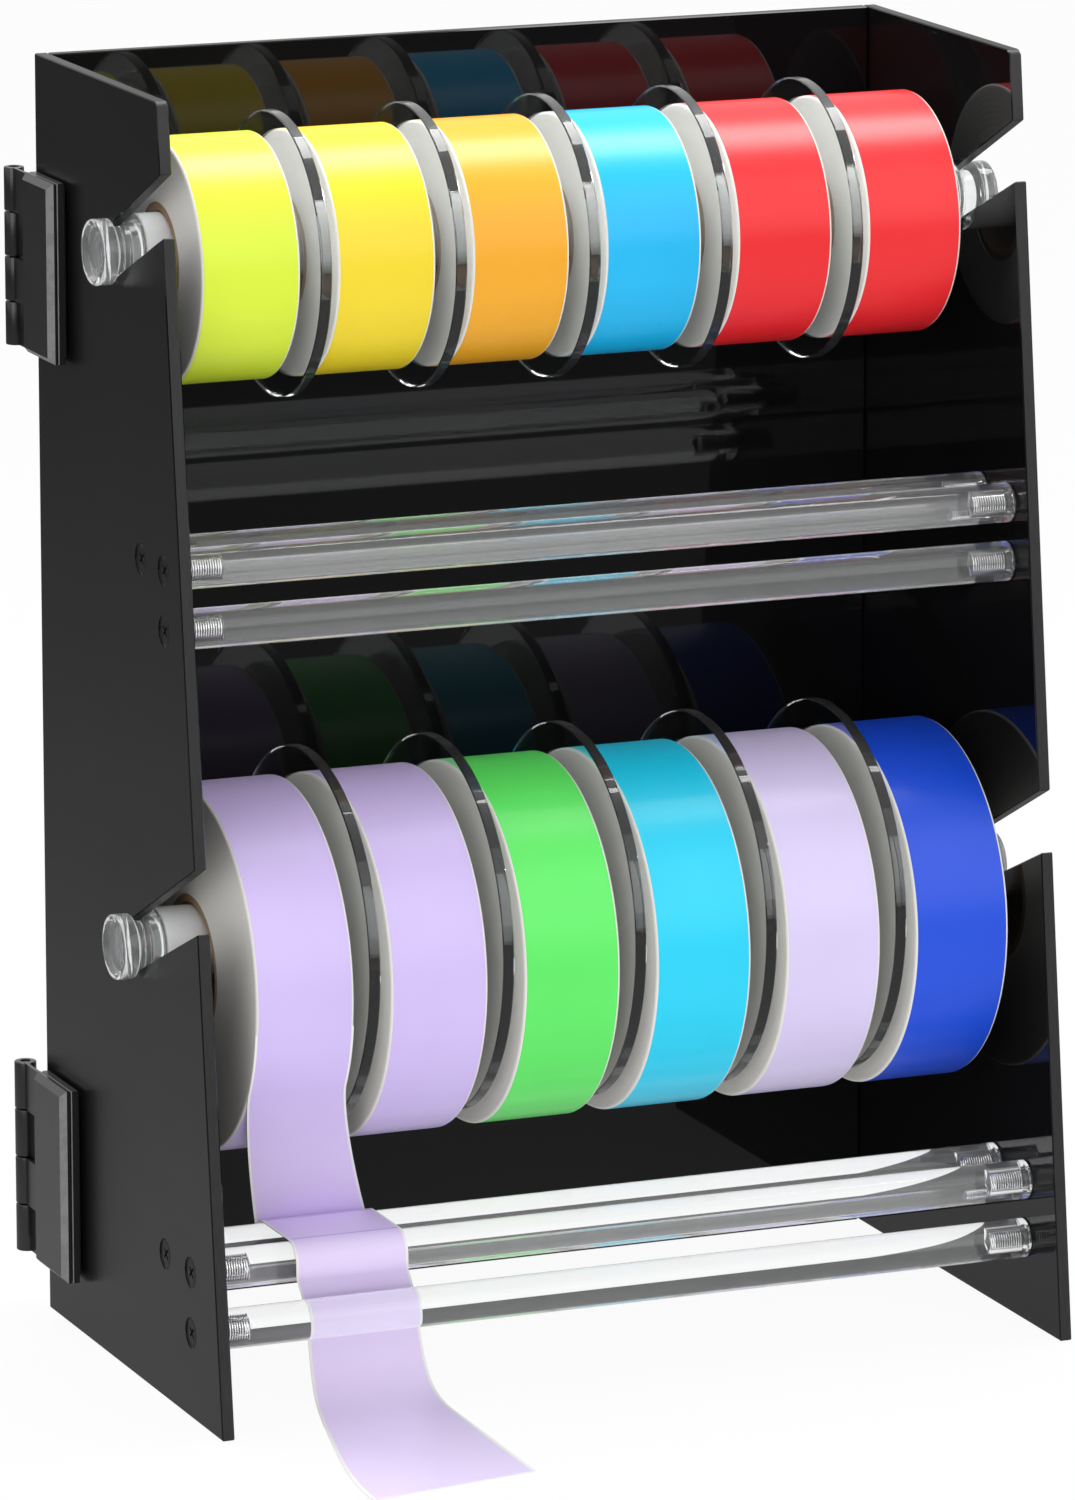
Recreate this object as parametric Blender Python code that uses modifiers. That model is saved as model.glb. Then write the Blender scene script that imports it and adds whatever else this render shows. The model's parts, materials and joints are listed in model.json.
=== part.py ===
"""A two-tier counter rack that holds twelve rolls of label tape on two lift-out spindles.

Metres, +Z up. X runs across the rack, -Y is its open front. The origin is the centre of the
back panel's bottom face.
"""
import math

import bmesh
import bpy
from mathutils import Euler, Vector

# Running gap between pieces that touch, how far a cutter runs past a face, and the weld distance
GAP = 0.0003
OVERRUN = 0.002
WELD = 0.00001

# Acrylic sheet and the three panels
SHEET = 0.004
TOP_DEPTH = 0.1086
BOTTOM_DEPTH = 0.1564
CORNER_CHAMFER = 0.0015

# Open slots in the side panels, which slope down to a round seat. The upper seat lies one pitch
# above the lower one, and the panels end above it
SLOT_SLOPE = math.radians(24.85)
SLOT_FLARE = math.radians(1.3)
SEAT_CLEARANCE = 0.0003
LOWER_SEAT_HEIGHT = 0.1368
LOWER_SEAT_SETBACK = 0.0777
SEAT_PITCH = 0.2125
UPPER_SEAT_SETBACK = 0.0655
UPPER_SEAT_DROP = 0.0507

# Spindles: a tube on two end knobs, whose necks lie in the slots
TUBE_RADIUS = 0.011
TUBE_WALL = 0.003
NECK_RADIUS = 0.0075
FLANGE_RADIUS = 0.0101
FLANGE_THICKNESS = 0.0062
FLANGE_RUN = 0.0005
SHOULDER_LENGTH = 0.0026
SHOULDER_RUN = 0.0005
PLUG_LENGTH = 0.012
KNOB_CHAMFER = 0.0009
GROOVE_CHAMFER = 0.0014
DISH_DEPTH = 0.0016
DISH_LAND = 0.0019

# Divider discs, which hang loosely on the tube
DISC_THICKNESS = 0.0037
UPPER_DISC_RADIUS = 0.0436
UPPER_DISC_BORE = 0.0153
LOWER_DISC_RADIUS = 0.0587
LOWER_DISC_BORE = 0.0132

# Rolls of label tape, each wound on its own board core, the room left beside the row of them, and
# how far each tier's stack sits off centre
ROLLS_PER_TIER = 6
ROLL_PITCH = 0.0436
SIDE_ROOM = 0.0068
ROLL_WIDTH = 0.0317
UPPER_STACK_SHIFT = -0.0022
UPPER_ROLL_RADIUS = 0.0376
UPPER_CORE_BORE = 0.01525
LOWER_STACK_SHIFT = 0.0018
LOWER_ROLL_RADIUS = 0.0566
LOWER_CORE_BORE = 0.020

# Guide rods: how far each row lies below its seat and behind the sloping front edge
ROD_RADIUS = 0.0062
UPPER_ROD_DROP = 0.0903
UPPER_ROD_INSET = 0.0140
UPPER_ROD_ROW = 0.0200
UPPER_ROD_STEP = 0.0185
LOWER_ROD_DROP = 0.0910
LOWER_ROD_INSET = 0.0214
LOWER_ROD_ROW = 0.0222
LOWER_ROD_STEP = 0.0190

# Countersunk screws, and the tapped holes in the rods that they turn into
SCREW_RADIUS = 0.0025
SCREW_LENGTH = 0.016
TAP_DEPTH = 0.0135
HEAD_RADIUS = 0.00465
HEAD_CONE = 0.0023
HEAD_SUNK = 0.0003
THREAD_CLEARANCE = 0.0003

# The loose strip of tape off the first lower roll: over both upper rods, behind the low one, onto
# the counter. It drifts sideways on its way and flares towards its end
STRIP_THICKNESS = 0.0005
STRIP_RUN = 0.0004
STRIP_WRAP = math.radians(22)
STRIP_LEAVE_TILT = math.radians(20)
STRIP_TOUCHDOWN = 0.026
STRIP_END_REACH = 0.0950
STRIP_END_SKEW = math.radians(8.7)
STRIP_ROD_WIDTH = 0.0365
STRIP_END_WIDTH = 0.0560
STRIP_ROD_DRIFT = 0.0155
STRIP_LOW_DRIFT = 0.0236
STRIP_END_DRIFT = 0.0135
STRIP_DRIFT_POWER = 1.25

# Hinges on the left panel's outer face
UPPER_HINGE_HEIGHT = 0.0560
UPPER_HINGE_TOP_DROP = 0.0640
UPPER_LEAF_LENGTH = 0.0391
UPPER_BARREL_RADIUS = 0.00315
LOWER_HINGE_HEIGHT = 0.0620
LOWER_HINGE_FLOOR_HEIGHT = 0.0480
LOWER_LEAF_LENGTH = 0.0425
LOWER_BARREL_RADIUS = 0.0035
LEAF_THICKNESS = 0.0022
LEAF_CLEARANCE = 0.0004
LEAF_BEVEL = 0.0012
BARREL_SETBACK = 0.0096
BARREL_CLEARANCE = 0.0004
KNUCKLES = 4
PIN_RADIUS = 0.0015
PIN_RECESS = 0.0006
PAD_THICKNESS = 0.0008
PAD_INSET = 0.0020

# Facets of the round pieces, and the angle above which an edge stays sharp
FINE_SIDES = 32
KNOB_SIDES = 24
ROD_SIDES = 20
BARREL_SIDES = 16
SCREW_SIDES = 12
SEAT_STEPS = 10
STRIP_STEPS = 12
SHARP_ANGLE = math.radians(35)

# Colours
BLACK = (0.012, 0.012, 0.013)
CLEAR = (0.86, 0.89, 0.90)
FROST = (0.90, 0.91, 0.92)
UPPER_TAPES = {
    "lime": (0.78, 0.90, 0.06),
    "yellow": (0.98, 0.72, 0.01),
    "orange": (1.00, 0.33, 0.01),
    "sky_blue": (0.01, 0.41, 0.72),
    "red": (0.85, 0.02, 0.03),
    "scarlet": (0.85, 0.02, 0.03),
}
LOWER_TAPES = {
    "lavender": (0.58, 0.47, 0.87),
    "lilac": (0.58, 0.47, 0.87),
    "green": (0.07, 0.68, 0.09),
    "cyan": (0.03, 0.57, 0.90),
    "pale_lavender": (0.56, 0.48, 0.80),
    "royal_blue": (0.01, 0.04, 0.66),
}

# Places that follow from the sizes above
BACK_Y = SHEET / 2
PANEL_INNER_X = ROLLS_PER_TIER * ROLL_PITCH / 2 + SIDE_ROOM
PANEL_OUTER_X = PANEL_INNER_X + SHEET
PANEL_MIDDLE_X = PANEL_OUTER_X - SHEET / 2
SEAT_RADIUS = NECK_RADIUS + SEAT_CLEARANCE
TUBE_BORE = TUBE_RADIUS - TUBE_WALL
NECK_OUTER_X = PANEL_OUTER_X + FLANGE_RUN
NECK_INNER_X = PANEL_INNER_X - SHOULDER_RUN
TUBE_END_X = NECK_INNER_X - SHOULDER_LENGTH - GAP
ROD_END_X = PANEL_INNER_X - GAP
UPPER_SEAT = Vector((-SHEET / 2 - UPPER_SEAT_SETBACK, LOWER_SEAT_HEIGHT + SEAT_PITCH))
LOWER_SEAT = Vector((-SHEET / 2 - LOWER_SEAT_SETBACK, LOWER_SEAT_HEIGHT))
PANEL_HEIGHT = LOWER_SEAT_HEIGHT + SEAT_PITCH + UPPER_SEAT_DROP
FRONT_SLOPE = (BOTTOM_DEPTH - TOP_DEPTH) / PANEL_HEIGHT


def front_edge(height):
    """Y of the side panels' sloping front edge at a height."""
    return BACK_Y - BOTTOM_DEPTH + FRONT_SLOPE * height


def rod_row(seat, drop, inset, row, step):
    """The (Y, Z) places of one tier's rear, front top and front low rods."""
    top = seat.y - drop
    low = top - step
    front = front_edge(top) + inset
    return {
        "rear": Vector((front + row, top)),
        "front_top": Vector((front, top)),
        "front_low": Vector((front, low)),
    }


RODS = {
    "upper": rod_row(UPPER_SEAT, UPPER_ROD_DROP, UPPER_ROD_INSET, UPPER_ROD_ROW, UPPER_ROD_STEP),
    "lower": rod_row(LOWER_SEAT, LOWER_ROD_DROP, LOWER_ROD_INSET, LOWER_ROD_ROW, LOWER_ROD_STEP),
}


def clear_scene():
    """Remove what the file opened with."""
    for item in list(bpy.data.objects):
        bpy.data.objects.remove(item, do_unlink=True)


def make_collection(name):
    """A new collection in the scene."""
    made = bpy.data.collections.new(name)
    bpy.context.scene.collection.children.link(made)
    return made


def plastic(name, colour, roughness=0.3, metallic=0.0, alpha=1.0):
    """A Principled material of one colour."""
    material = bpy.data.materials.new(name)
    material.use_nodes = True
    shader = material.node_tree.nodes["Principled BSDF"]
    shader.inputs["Base Color"].default_value = (*colour, 1.0)
    shader.inputs["Roughness"].default_value = roughness
    shader.inputs["Metallic"].default_value = metallic
    shader.inputs["Alpha"].default_value = alpha
    material.diffuse_color = (*colour, alpha)
    return material


def evaluated_mesh(item):
    """The mesh that an object shows once its modifiers have run."""
    graph = bpy.context.evaluated_depsgraph_get()
    return bpy.data.meshes.new_from_object(item.evaluated_get(graph))


def finish(item, material):
    """Bake an object's modifiers into its mesh, shade it and give it its material."""
    mesh = evaluated_mesh(item)
    item.modifiers.clear()
    item.data = mesh
    mesh.name = item.name
    mesh.shade_smooth()
    mesh.set_sharp_from_angle(angle=SHARP_ANGLE)
    mesh.materials.clear()
    mesh.materials.append(material)
    return item


def turned(name, profile, sides, ring=False):
    """Turn a (radius, height) profile about local Z, its outer side listed top to bottom."""
    mesh = bpy.data.meshes.new(name)
    points = [(radius, 0, height) for radius, height in profile]
    edges = [(i, i + 1) for i in range(len(points) - 1)]
    if ring:
        edges.append((len(points) - 1, 0))
    mesh.from_pydata(points, edges, [])
    item = bpy.data.objects.new(name, mesh)
    parts.objects.link(item)
    screw = item.modifiers.new("turn", "SCREW")
    screw.axis = "Z"
    screw.angle = math.tau
    screw.steps = sides
    screw.render_steps = sides
    screw.use_merge_vertices = True
    screw.merge_threshold = WELD
    return item


def place_across(item, x, spot, outward=1):
    """Lay a turned piece's axis along X at (Y, Z), its top pointing to +X or to -X."""
    item.location = (x, spot.x, spot.y)
    item.rotation_euler = Euler((0, outward * math.pi / 2, 0))
    return item


def plate(name, outline, thickness):
    """A flat plate in the YZ plane from an outline of (Y, Z) points, centred on X = 0."""
    curve = bpy.data.curves.new(name, "CURVE")
    curve.dimensions = "2D"
    curve.fill_mode = "BOTH"
    curve.extrude = thickness / 2
    spline = curve.splines.new("POLY")
    spline.points.add(len(outline) - 1)
    for point, (across, up) in zip(spline.points, outline):
        point.co = (across, up, 0, 1)
    spline.use_cyclic_u = True
    drawn = bpy.data.objects.new(name + "_outline", curve)
    parts.objects.link(drawn)
    bpy.context.view_layer.update()
    mesh = evaluated_mesh(drawn)
    welded = bmesh.new()
    welded.from_mesh(mesh)
    bmesh.ops.remove_doubles(welded, verts=welded.verts, dist=WELD)
    welded.to_mesh(mesh)
    welded.free()
    item = bpy.data.objects.new(name, mesh)
    item.rotation_euler = Euler((math.pi / 2, 0, math.pi / 2))
    parts.objects.link(item)
    bpy.data.objects.remove(drawn, do_unlink=True)
    return item


def box(name, low, high):
    """A box between two corners, with its place in its mesh."""
    size = Vector(high) - Vector(low)
    middle = (Vector(high) + Vector(low)) / 2
    mesh = bpy.data.meshes.new(name)
    shape = bmesh.new()
    bmesh.ops.create_cube(shape, size=1)
    bmesh.ops.scale(shape, vec=size, verts=shape.verts)
    bmesh.ops.translate(shape, vec=middle, verts=shape.verts)
    shape.to_mesh(mesh)
    shape.free()
    item = bpy.data.objects.new(name, mesh)
    parts.objects.link(item)
    return item


def as_cutter(item):
    """Move an object to the cutters, which the build leaves out."""
    parts.objects.unlink(item)
    cutters.objects.link(item)
    item.hide_render = True
    item.display_type = "WIRE"
    return item


def combine(item, other, operation):
    """Cut an object away from a piece, or join it on."""
    change = item.modifiers.new(other.name, "BOOLEAN")
    change.operation = operation
    change.solver = "EXACT"
    change.object = other
    return change


def slot_outline(seat):
    """The slot's points from its upper lip, round the seat, to its lower lip."""
    points = []
    upper = SLOT_SLOPE + SLOT_FLARE
    lower = SLOT_SLOPE - SLOT_FLARE
    start = math.pi / 2 - upper
    end = -math.pi / 2 - lower
    for step in range(SEAT_STEPS + 1):
        angle = start + (end - start) * step / SEAT_STEPS
        points.append(seat + SEAT_RADIUS * Vector((math.cos(angle), math.sin(angle))))
    lips = []
    for point, angle in ((points[0], upper), (points[-1], lower)):
        way = Vector((-math.cos(angle), math.sin(angle)))
        reach = (front_edge(point.y) - point.x) / (way.x - FRONT_SLOPE * way.y)
        lips.append(point + reach * way)
    return [lips[0], *points, lips[1]]


def side_outline():
    """The side panel's outline, with both slots open at its sloping front edge."""
    front_top = front_edge(PANEL_HEIGHT)
    return [
        (BACK_Y, 0),
        (BACK_Y, PANEL_HEIGHT),
        (front_top + CORNER_CHAMFER, PANEL_HEIGHT),
        (front_edge(PANEL_HEIGHT - CORNER_CHAMFER), PANEL_HEIGHT - CORNER_CHAMFER),
        *slot_outline(UPPER_SEAT),
        *slot_outline(LOWER_SEAT),
        (front_edge(0), 0),
    ]


def screw_hole():
    """A cutter for one countersunk hole, with the panel's outer face at its local zero."""
    sink = HEAD_RADIUS + THREAD_CLEARANCE
    shank = SCREW_RADIUS + THREAD_CLEARANCE
    cone_end = -HEAD_SUNK - HEAD_CONE
    through = -SHEET - OVERRUN
    profile = [(0, OVERRUN), (sink, OVERRUN), (sink, -HEAD_SUNK)]
    profile += [(shank, cone_end), (shank, through), (0, through)]
    return as_cutter(turned("screw_hole", profile, SCREW_SIDES))


def side_panel(name, outward):
    """One side panel: outward is 1 on the right and -1 on the left."""
    panel = plate(name, side_outline(), SHEET)
    panel.location.x = outward * PANEL_MIDDLE_X
    for tier, rods in RODS.items():
        for place, spot in rods.items():
            hole = place_across(screw_hole(), outward * PANEL_OUTER_X, spot, outward)
            hole.name = f"{name}_{tier}_{place}_hole"
            combine(panel, hole, "DIFFERENCE")
    bpy.context.view_layer.update()
    return finish(panel, black)


def make_panels():
    """Two slotted side panels, and the back panel that stands between them."""
    side_panel("left_side_panel", -1)
    side_panel("right_side_panel", 1)
    low = (-ROD_END_X, -SHEET / 2, 0)
    high = (ROD_END_X, SHEET / 2, PANEL_HEIGHT)
    finish(box("back_panel", low, high), black)


def make_rods():
    """Clear rods between the side panels, tapped at both ends for their screws."""
    tap = SCREW_RADIUS + THREAD_CLEARANCE
    tap_end = ROD_END_X - TAP_DEPTH
    profile = [(0, tap_end), (tap, tap_end), (tap, ROD_END_X), (ROD_RADIUS, ROD_END_X)]
    profile += [(radius, -height) for radius, height in reversed(profile)]
    for tier, rods in RODS.items():
        for place, spot in rods.items():
            rod = turned(f"{tier}_{place}_rod", profile, ROD_SIDES)
            finish(place_across(rod, 0, spot), clear)


def make_screws():
    """Countersunk screws that hold the rods between the side panels."""
    cone_end = -HEAD_SUNK - HEAD_CONE
    profile = [(0, -HEAD_SUNK), (HEAD_RADIUS, -HEAD_SUNK), (SCREW_RADIUS, cone_end)]
    profile += [(SCREW_RADIUS, -SCREW_LENGTH), (0, -SCREW_LENGTH)]
    for tier, rods in RODS.items():
        for place, spot in rods.items():
            for side, outward in (("left", -1), ("right", 1)):
                screw = turned(f"{tier}_{place}_{side}_screw", profile, SCREW_SIDES)
                finish(place_across(screw, outward * PANEL_OUTER_X, spot, outward), black_metal)


def knob_profile():
    """An end knob from its dished outer face to the plug that fills the tube's end."""
    face = NECK_OUTER_X + FLANGE_THICKNESS
    shoulder_end = NECK_INNER_X - SHOULDER_LENGTH
    plug = TUBE_BORE - GAP
    dish = FLANGE_RADIUS - DISH_LAND
    return [
        (0, face - DISH_DEPTH),
        (dish, face - DISH_DEPTH),
        (dish, face),
        (FLANGE_RADIUS - KNOB_CHAMFER, face),
        (FLANGE_RADIUS, face - KNOB_CHAMFER),
        (FLANGE_RADIUS, NECK_OUTER_X + GROOVE_CHAMFER),
        (FLANGE_RADIUS - GROOVE_CHAMFER, NECK_OUTER_X),
        (NECK_RADIUS, NECK_OUTER_X),
        (NECK_RADIUS, NECK_INNER_X),
        (TUBE_RADIUS - GROOVE_CHAMFER, NECK_INNER_X),
        (TUBE_RADIUS, NECK_INNER_X - GROOVE_CHAMFER),
        (TUBE_RADIUS, shoulder_end),
        (plug, shoulder_end),
        (plug, shoulder_end - PLUG_LENGTH),
        (0, shoulder_end - PLUG_LENGTH),
    ]


def make_spindle(tier, seat):
    """A tube with its two end knobs, on the seat's axis."""
    middle = bpy.data.objects.new(f"{tier}_spindle_axis", None)
    middle.location = (0, seat.x, seat.y)
    middle.rotation_euler = Euler((0, math.pi / 2, 0))
    parts.objects.link(middle)
    wall = [(TUBE_RADIUS, TUBE_END_X), (TUBE_RADIUS, -TUBE_END_X)]
    wall += [(TUBE_BORE, -TUBE_END_X), (TUBE_BORE, TUBE_END_X)]
    tube = finish(turned(f"{tier}_spindle_tube", wall, FINE_SIDES, ring=True), frosted)
    tube.parent = middle
    for side, outward in (("left", -1), ("right", 1)):
        knob = finish(turned(f"{tier}_{side}_knob", knob_profile(), KNOB_SIDES), clear)
        knob.rotation_euler = Euler((0, 0 if outward > 0 else math.pi, 0))
        knob.parent = middle


def hang(seat, bore):
    """The (Y, Z) centre of a ring whose bore hangs on the tube."""
    return seat - Vector((0, bore - TUBE_RADIUS - GAP))


def roll_x(number, shift):
    """X of a roll's middle, for rolls numbered from 1 at the left."""
    return (number - (ROLLS_PER_TIER + 1) / 2) * ROLL_PITCH + shift


def make_dividers(tier, seat, radius, bore, shift):
    """Clear discs that hang on the tube, one midway between each roll and the next."""
    half = DISC_THICKNESS / 2
    rim = [(radius, half), (radius, -half), (bore, -half), (bore, half)]
    spot = hang(seat, bore)
    for number in range(1, ROLLS_PER_TIER):
        disc = finish(turned(f"{tier}_divider_{number}", rim, FINE_SIDES, ring=True), clear)
        place_across(disc, roll_x(number, shift) + ROLL_PITCH / 2, spot)


def make_rolls(tier, seat, tapes, radius, core_bore, shift):
    """Rolls of tape whose cores hang on the spindle's tube."""
    half = ROLL_WIDTH / 2
    profile = [(radius, half), (radius, -half), (core_bore, -half), (core_bore, half)]
    spot = hang(seat, core_bore)
    for number, (name, colour) in enumerate(tapes.items(), start=1):
        label = plastic(f"{name}_tape", colour, roughness=0.42)
        roll = finish(turned(f"{tier}_roll_{number}", profile, FINE_SIDES, ring=True), label)
        place_across(roll, roll_x(number, shift), spot)


def arc_points(centre, radius, start, end):
    """Points on an arc in the YZ plane."""
    points = []
    for step in range(STRIP_STEPS + 1):
        angle = start + (end - start) * step / STRIP_STEPS
        points.append(centre + radius * Vector((math.cos(angle), math.sin(angle))))
    return points


def heading_to(start, end):
    """The angle of the way between two (Y, Z) places."""
    way = end - start
    return math.atan2(way.y, way.x)


def strip_stretches():
    """The strip's (Y, Z) route: on the roll, down, over two rods, behind the third, to its end."""
    half = STRIP_THICKNESS / 2
    roll = hang(LOWER_SEAT, LOWER_CORE_BORE)
    roll_turn = LOWER_ROLL_RADIUS + GAP + half
    rod_turn = ROD_RADIUS + STRIP_RUN + half
    rear, top, low = RODS["lower"]["rear"], RODS["lower"]["front_top"], RODS["lower"]["front_low"]
    leave = heading_to(roll, rear) - math.acos((roll_turn + rod_turn) / (rear - roll).length)
    leave = leave % math.tau
    cross = heading_to(top, low) - math.acos(2 * rod_turn / (low - top).length)
    cross = cross % math.tau
    on_roll = arc_points(roll, roll_turn, leave - STRIP_WRAP, leave)
    over_rear = arc_points(rear, rod_turn, leave - math.pi, math.pi / 2)
    descent = [on_roll[-1].lerp(over_rear[0], step / STRIP_STEPS) for step in range(STRIP_STEPS + 1)]
    over_top = arc_points(top, rod_turn, math.pi / 2, math.pi)
    under_top = arc_points(top, rod_turn, math.pi, cross)
    behind_low = arc_points(low, rod_turn, cross - math.pi, -STRIP_LEAVE_TILT)
    start = behind_low[-1]
    heading = Vector((-math.sin(STRIP_LEAVE_TILT), -math.cos(STRIP_LEAVE_TILT)))
    landing = Vector((low.x - STRIP_TOUCHDOWN, half + GAP))
    pull = (start - landing).length / 2
    handles = (start + heading * pull, landing + Vector((pull, 0)))
    tail = []
    for step in range(STRIP_STEPS + 1):
        share = step / STRIP_STEPS
        left = 1 - share
        near = left ** 3 * start + 3 * left ** 2 * share * handles[0]
        tail.append(near + 3 * left * share ** 2 * handles[1] + share ** 3 * landing)
    end = Vector((low.x - STRIP_END_REACH, landing.y))
    for step in range(1, STRIP_STEPS + 1):
        tail.append(landing.lerp(end, step / STRIP_STEPS))
    return [on_roll, descent, over_rear + over_top, under_top + behind_low, tail]


def eased(share):
    """A share from 0 to 1 that starts and ends gently."""
    return share * share * (3 - 2 * share)


def steepening(share):
    """A share from 0 to 1 that starts gently and ends steeply."""
    return share ** STRIP_DRIFT_POWER


def strip_stations():
    """Each station's (Y, Z) spot, sideways drift, width and skew along the strip."""
    ends = [
        (0, ROLL_WIDTH, 0),
        (0, ROLL_WIDTH, 0),
        (STRIP_ROD_DRIFT, STRIP_ROD_WIDTH, 0),
        (STRIP_ROD_DRIFT, STRIP_ROD_WIDTH, 0),
        (STRIP_LOW_DRIFT, STRIP_ROD_WIDTH, 0),
        (STRIP_END_DRIFT, STRIP_END_WIDTH, STRIP_END_SKEW),
    ]
    rates = [eased, steepening, eased, eased, eased]
    stations = []
    for points, start, end, rate in zip(strip_stretches(), ends, ends[1:], rates):
        lengths = [0]
        for before, after in zip(points, points[1:]):
            lengths.append(lengths[-1] + (after - before).length)
        for spot, length in zip(points, lengths):
            share = rate(length / lengths[-1])
            values = [first + (last - first) * share for first, last in zip(start, end)]
            if not stations or (spot - stations[-1][0]).length > WELD:
                stations.append((spot, *values))
    return stations


def make_strip():
    """The loose strip, an open ribbon along its route with its thickness added."""
    mesh = bpy.data.meshes.new("loose_strip")
    ribbon = bmesh.new()
    rows = []
    for spot, drift, width, skew in strip_stations():
        middle = Vector((roll_x(1, LOWER_STACK_SHIFT) + drift, spot.x, spot.y))
        across = Vector((math.cos(skew), math.sin(skew), 0)) * width / 2
        rows.append([ribbon.verts.new(middle - across), ribbon.verts.new(middle + across)])
    for before, after in zip(rows, rows[1:]):
        ribbon.faces.new((before[0], before[1], after[1], after[0]))
    ribbon.to_mesh(mesh)
    ribbon.free()
    strip = bpy.data.objects.new("loose_strip", mesh)
    parts.objects.link(strip)
    wall = strip.modifiers.new("thickness", "SOLIDIFY")
    wall.thickness = STRIP_THICKNESS
    wall.offset = 0
    bpy.context.view_layer.update()
    return finish(strip, plastic("strip_tape", LOWER_TAPES["lavender"], roughness=0.42))


def barrel_piece(name, radius, low, high, base=0):
    """A cylinder on the hinges' axis between two heights, with its origin at the base height."""
    item = turned(name, [(0, high), (radius, high), (radius, low), (0, low)], BARREL_SIDES)
    item.location = (hinge_axis.x, hinge_axis.y, base)
    return item


def hinge_leaf(name, low, high, length, barrel, outward_side, own_knuckles):
    """A leaf with its knuckles, on the outer or the inner side of the pin's plane."""
    knuckle = (high - low) / KNUCKLES
    near = hinge_axis.x + outward_side * LEAF_CLEARANCE / 2
    far = near + outward_side * LEAF_THICKNESS
    corners = (min(near, far), hinge_axis.y - length, low), (max(near, far), hinge_axis.y, high)
    leaf = box(name, *corners)
    if outward_side < 0:
        bevel_leaf(leaf, far, hinge_axis.y)
    for number in range(KNUCKLES):
        base = low + number * knuckle
        if number in own_knuckles:
            sleeve = barrel_piece(f"{name}_knuckle", barrel, base + GAP, base + knuckle - GAP)
            combine(leaf, as_cutter(sleeve), "UNION")
        else:
            room = barrel + BARREL_CLEARANCE
            under = OVERRUN if number == 0 else 0
            over = OVERRUN if number == KNUCKLES - 1 else 0
            notch = barrel_piece(f"{name}_notch", room, base - under, base + knuckle + over)
            combine(leaf, as_cutter(notch), "DIFFERENCE")
    hole = barrel_piece(f"{name}_bore", PIN_RADIUS + GAP, low - OVERRUN, high + OVERRUN)
    combine(leaf, as_cutter(hole), "DIFFERENCE")
    bpy.context.view_layer.update()
    return finish(leaf, black_metal)


def bevel_leaf(leaf, face_x, back_y):
    """Bevel the free leaf's outer edges, apart from the one at the barrel."""
    shape = bmesh.new()
    shape.from_mesh(leaf.data)
    edges = []
    for edge in shape.edges:
        on_face = all(abs(vert.co.x - face_x) < GAP for vert in edge.verts)
        at_barrel = all(abs(vert.co.y - back_y) < GAP for vert in edge.verts)
        if on_face and not at_barrel:
            edges.append(edge)
    bmesh.ops.bevel(shape, geom=edges, offset=LEAF_BEVEL, segments=1, affect="EDGES")
    shape.to_mesh(leaf.data)
    shape.free()


def make_hinge(tier, middle, height, length, barrel):
    """A folded hinge: pad, fixed leaf, free leaf and pin, stacked outward from the panel."""
    low, high = middle - height / 2, middle + height / 2
    hinge_leaf(f"{tier}_hinge_fixed_leaf", low, high, length, barrel, 1, (0, 2))
    hinge_leaf(f"{tier}_hinge_free_leaf", low, high, length, barrel, -1, (1, 3))
    half = height / 2 - PIN_RECESS
    pin = barrel_piece(f"{tier}_hinge_pin", PIN_RADIUS, -half, half, middle)
    finish(pin, black_metal)
    inner_face = -PANEL_OUTER_X - GAP
    front = hinge_axis.y - length + PAD_INSET
    corner = (inner_face - PAD_THICKNESS, front, low + PAD_INSET)
    far_corner = (inner_face, BACK_Y - PAD_INSET, high - PAD_INSET)
    finish(box(f"{tier}_hinge_pad", corner, far_corner), pad_foam)


clear_scene()
parts = make_collection("sticker_roll_dispenser")
cutters = make_collection("cutters")

black = plastic("black_acrylic", BLACK, roughness=0.08)
black_metal = plastic("black_metal", BLACK, roughness=0.35, metallic=0.5)
clear = plastic("clear_acrylic", CLEAR, roughness=0.05, alpha=0.35)
frosted = plastic("spindle_acrylic", FROST, roughness=0.25)
pad_foam = plastic("hinge_pad", BLACK, roughness=0.9)

hinge_stack = GAP + PAD_THICKNESS + GAP + LEAF_THICKNESS + LEAF_CLEARANCE / 2
hinge_axis = Vector((-PANEL_OUTER_X - hinge_stack, BACK_Y + BARREL_SETBACK, 0))

make_panels()
make_rods()
make_screws()
make_spindle("upper", UPPER_SEAT)
make_spindle("lower", LOWER_SEAT)
make_dividers("upper", UPPER_SEAT, UPPER_DISC_RADIUS, UPPER_DISC_BORE, UPPER_STACK_SHIFT)
make_dividers("lower", LOWER_SEAT, LOWER_DISC_RADIUS, LOWER_DISC_BORE, LOWER_STACK_SHIFT)
make_rolls(
    "upper", UPPER_SEAT, UPPER_TAPES, UPPER_ROLL_RADIUS, UPPER_CORE_BORE, UPPER_STACK_SHIFT,
)
make_rolls(
    "lower", LOWER_SEAT, LOWER_TAPES, LOWER_ROLL_RADIUS, LOWER_CORE_BORE, LOWER_STACK_SHIFT,
)
make_strip()
make_hinge(
    "upper", PANEL_HEIGHT - UPPER_HINGE_TOP_DROP,
    UPPER_HINGE_HEIGHT, UPPER_LEAF_LENGTH, UPPER_BARREL_RADIUS,
)
make_hinge(
    "lower", LOWER_HINGE_FLOOR_HEIGHT,
    LOWER_HINGE_HEIGHT, LOWER_LEAF_LENGTH, LOWER_BARREL_RADIUS,
)
bpy.context.view_layer.update()
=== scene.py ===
"""The looks of a two-tier acrylic counter rack that holds twelve rolls of label tape."""
import json
import math

import bmesh
import bpy
from mathutils import Matrix, Vector

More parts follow.
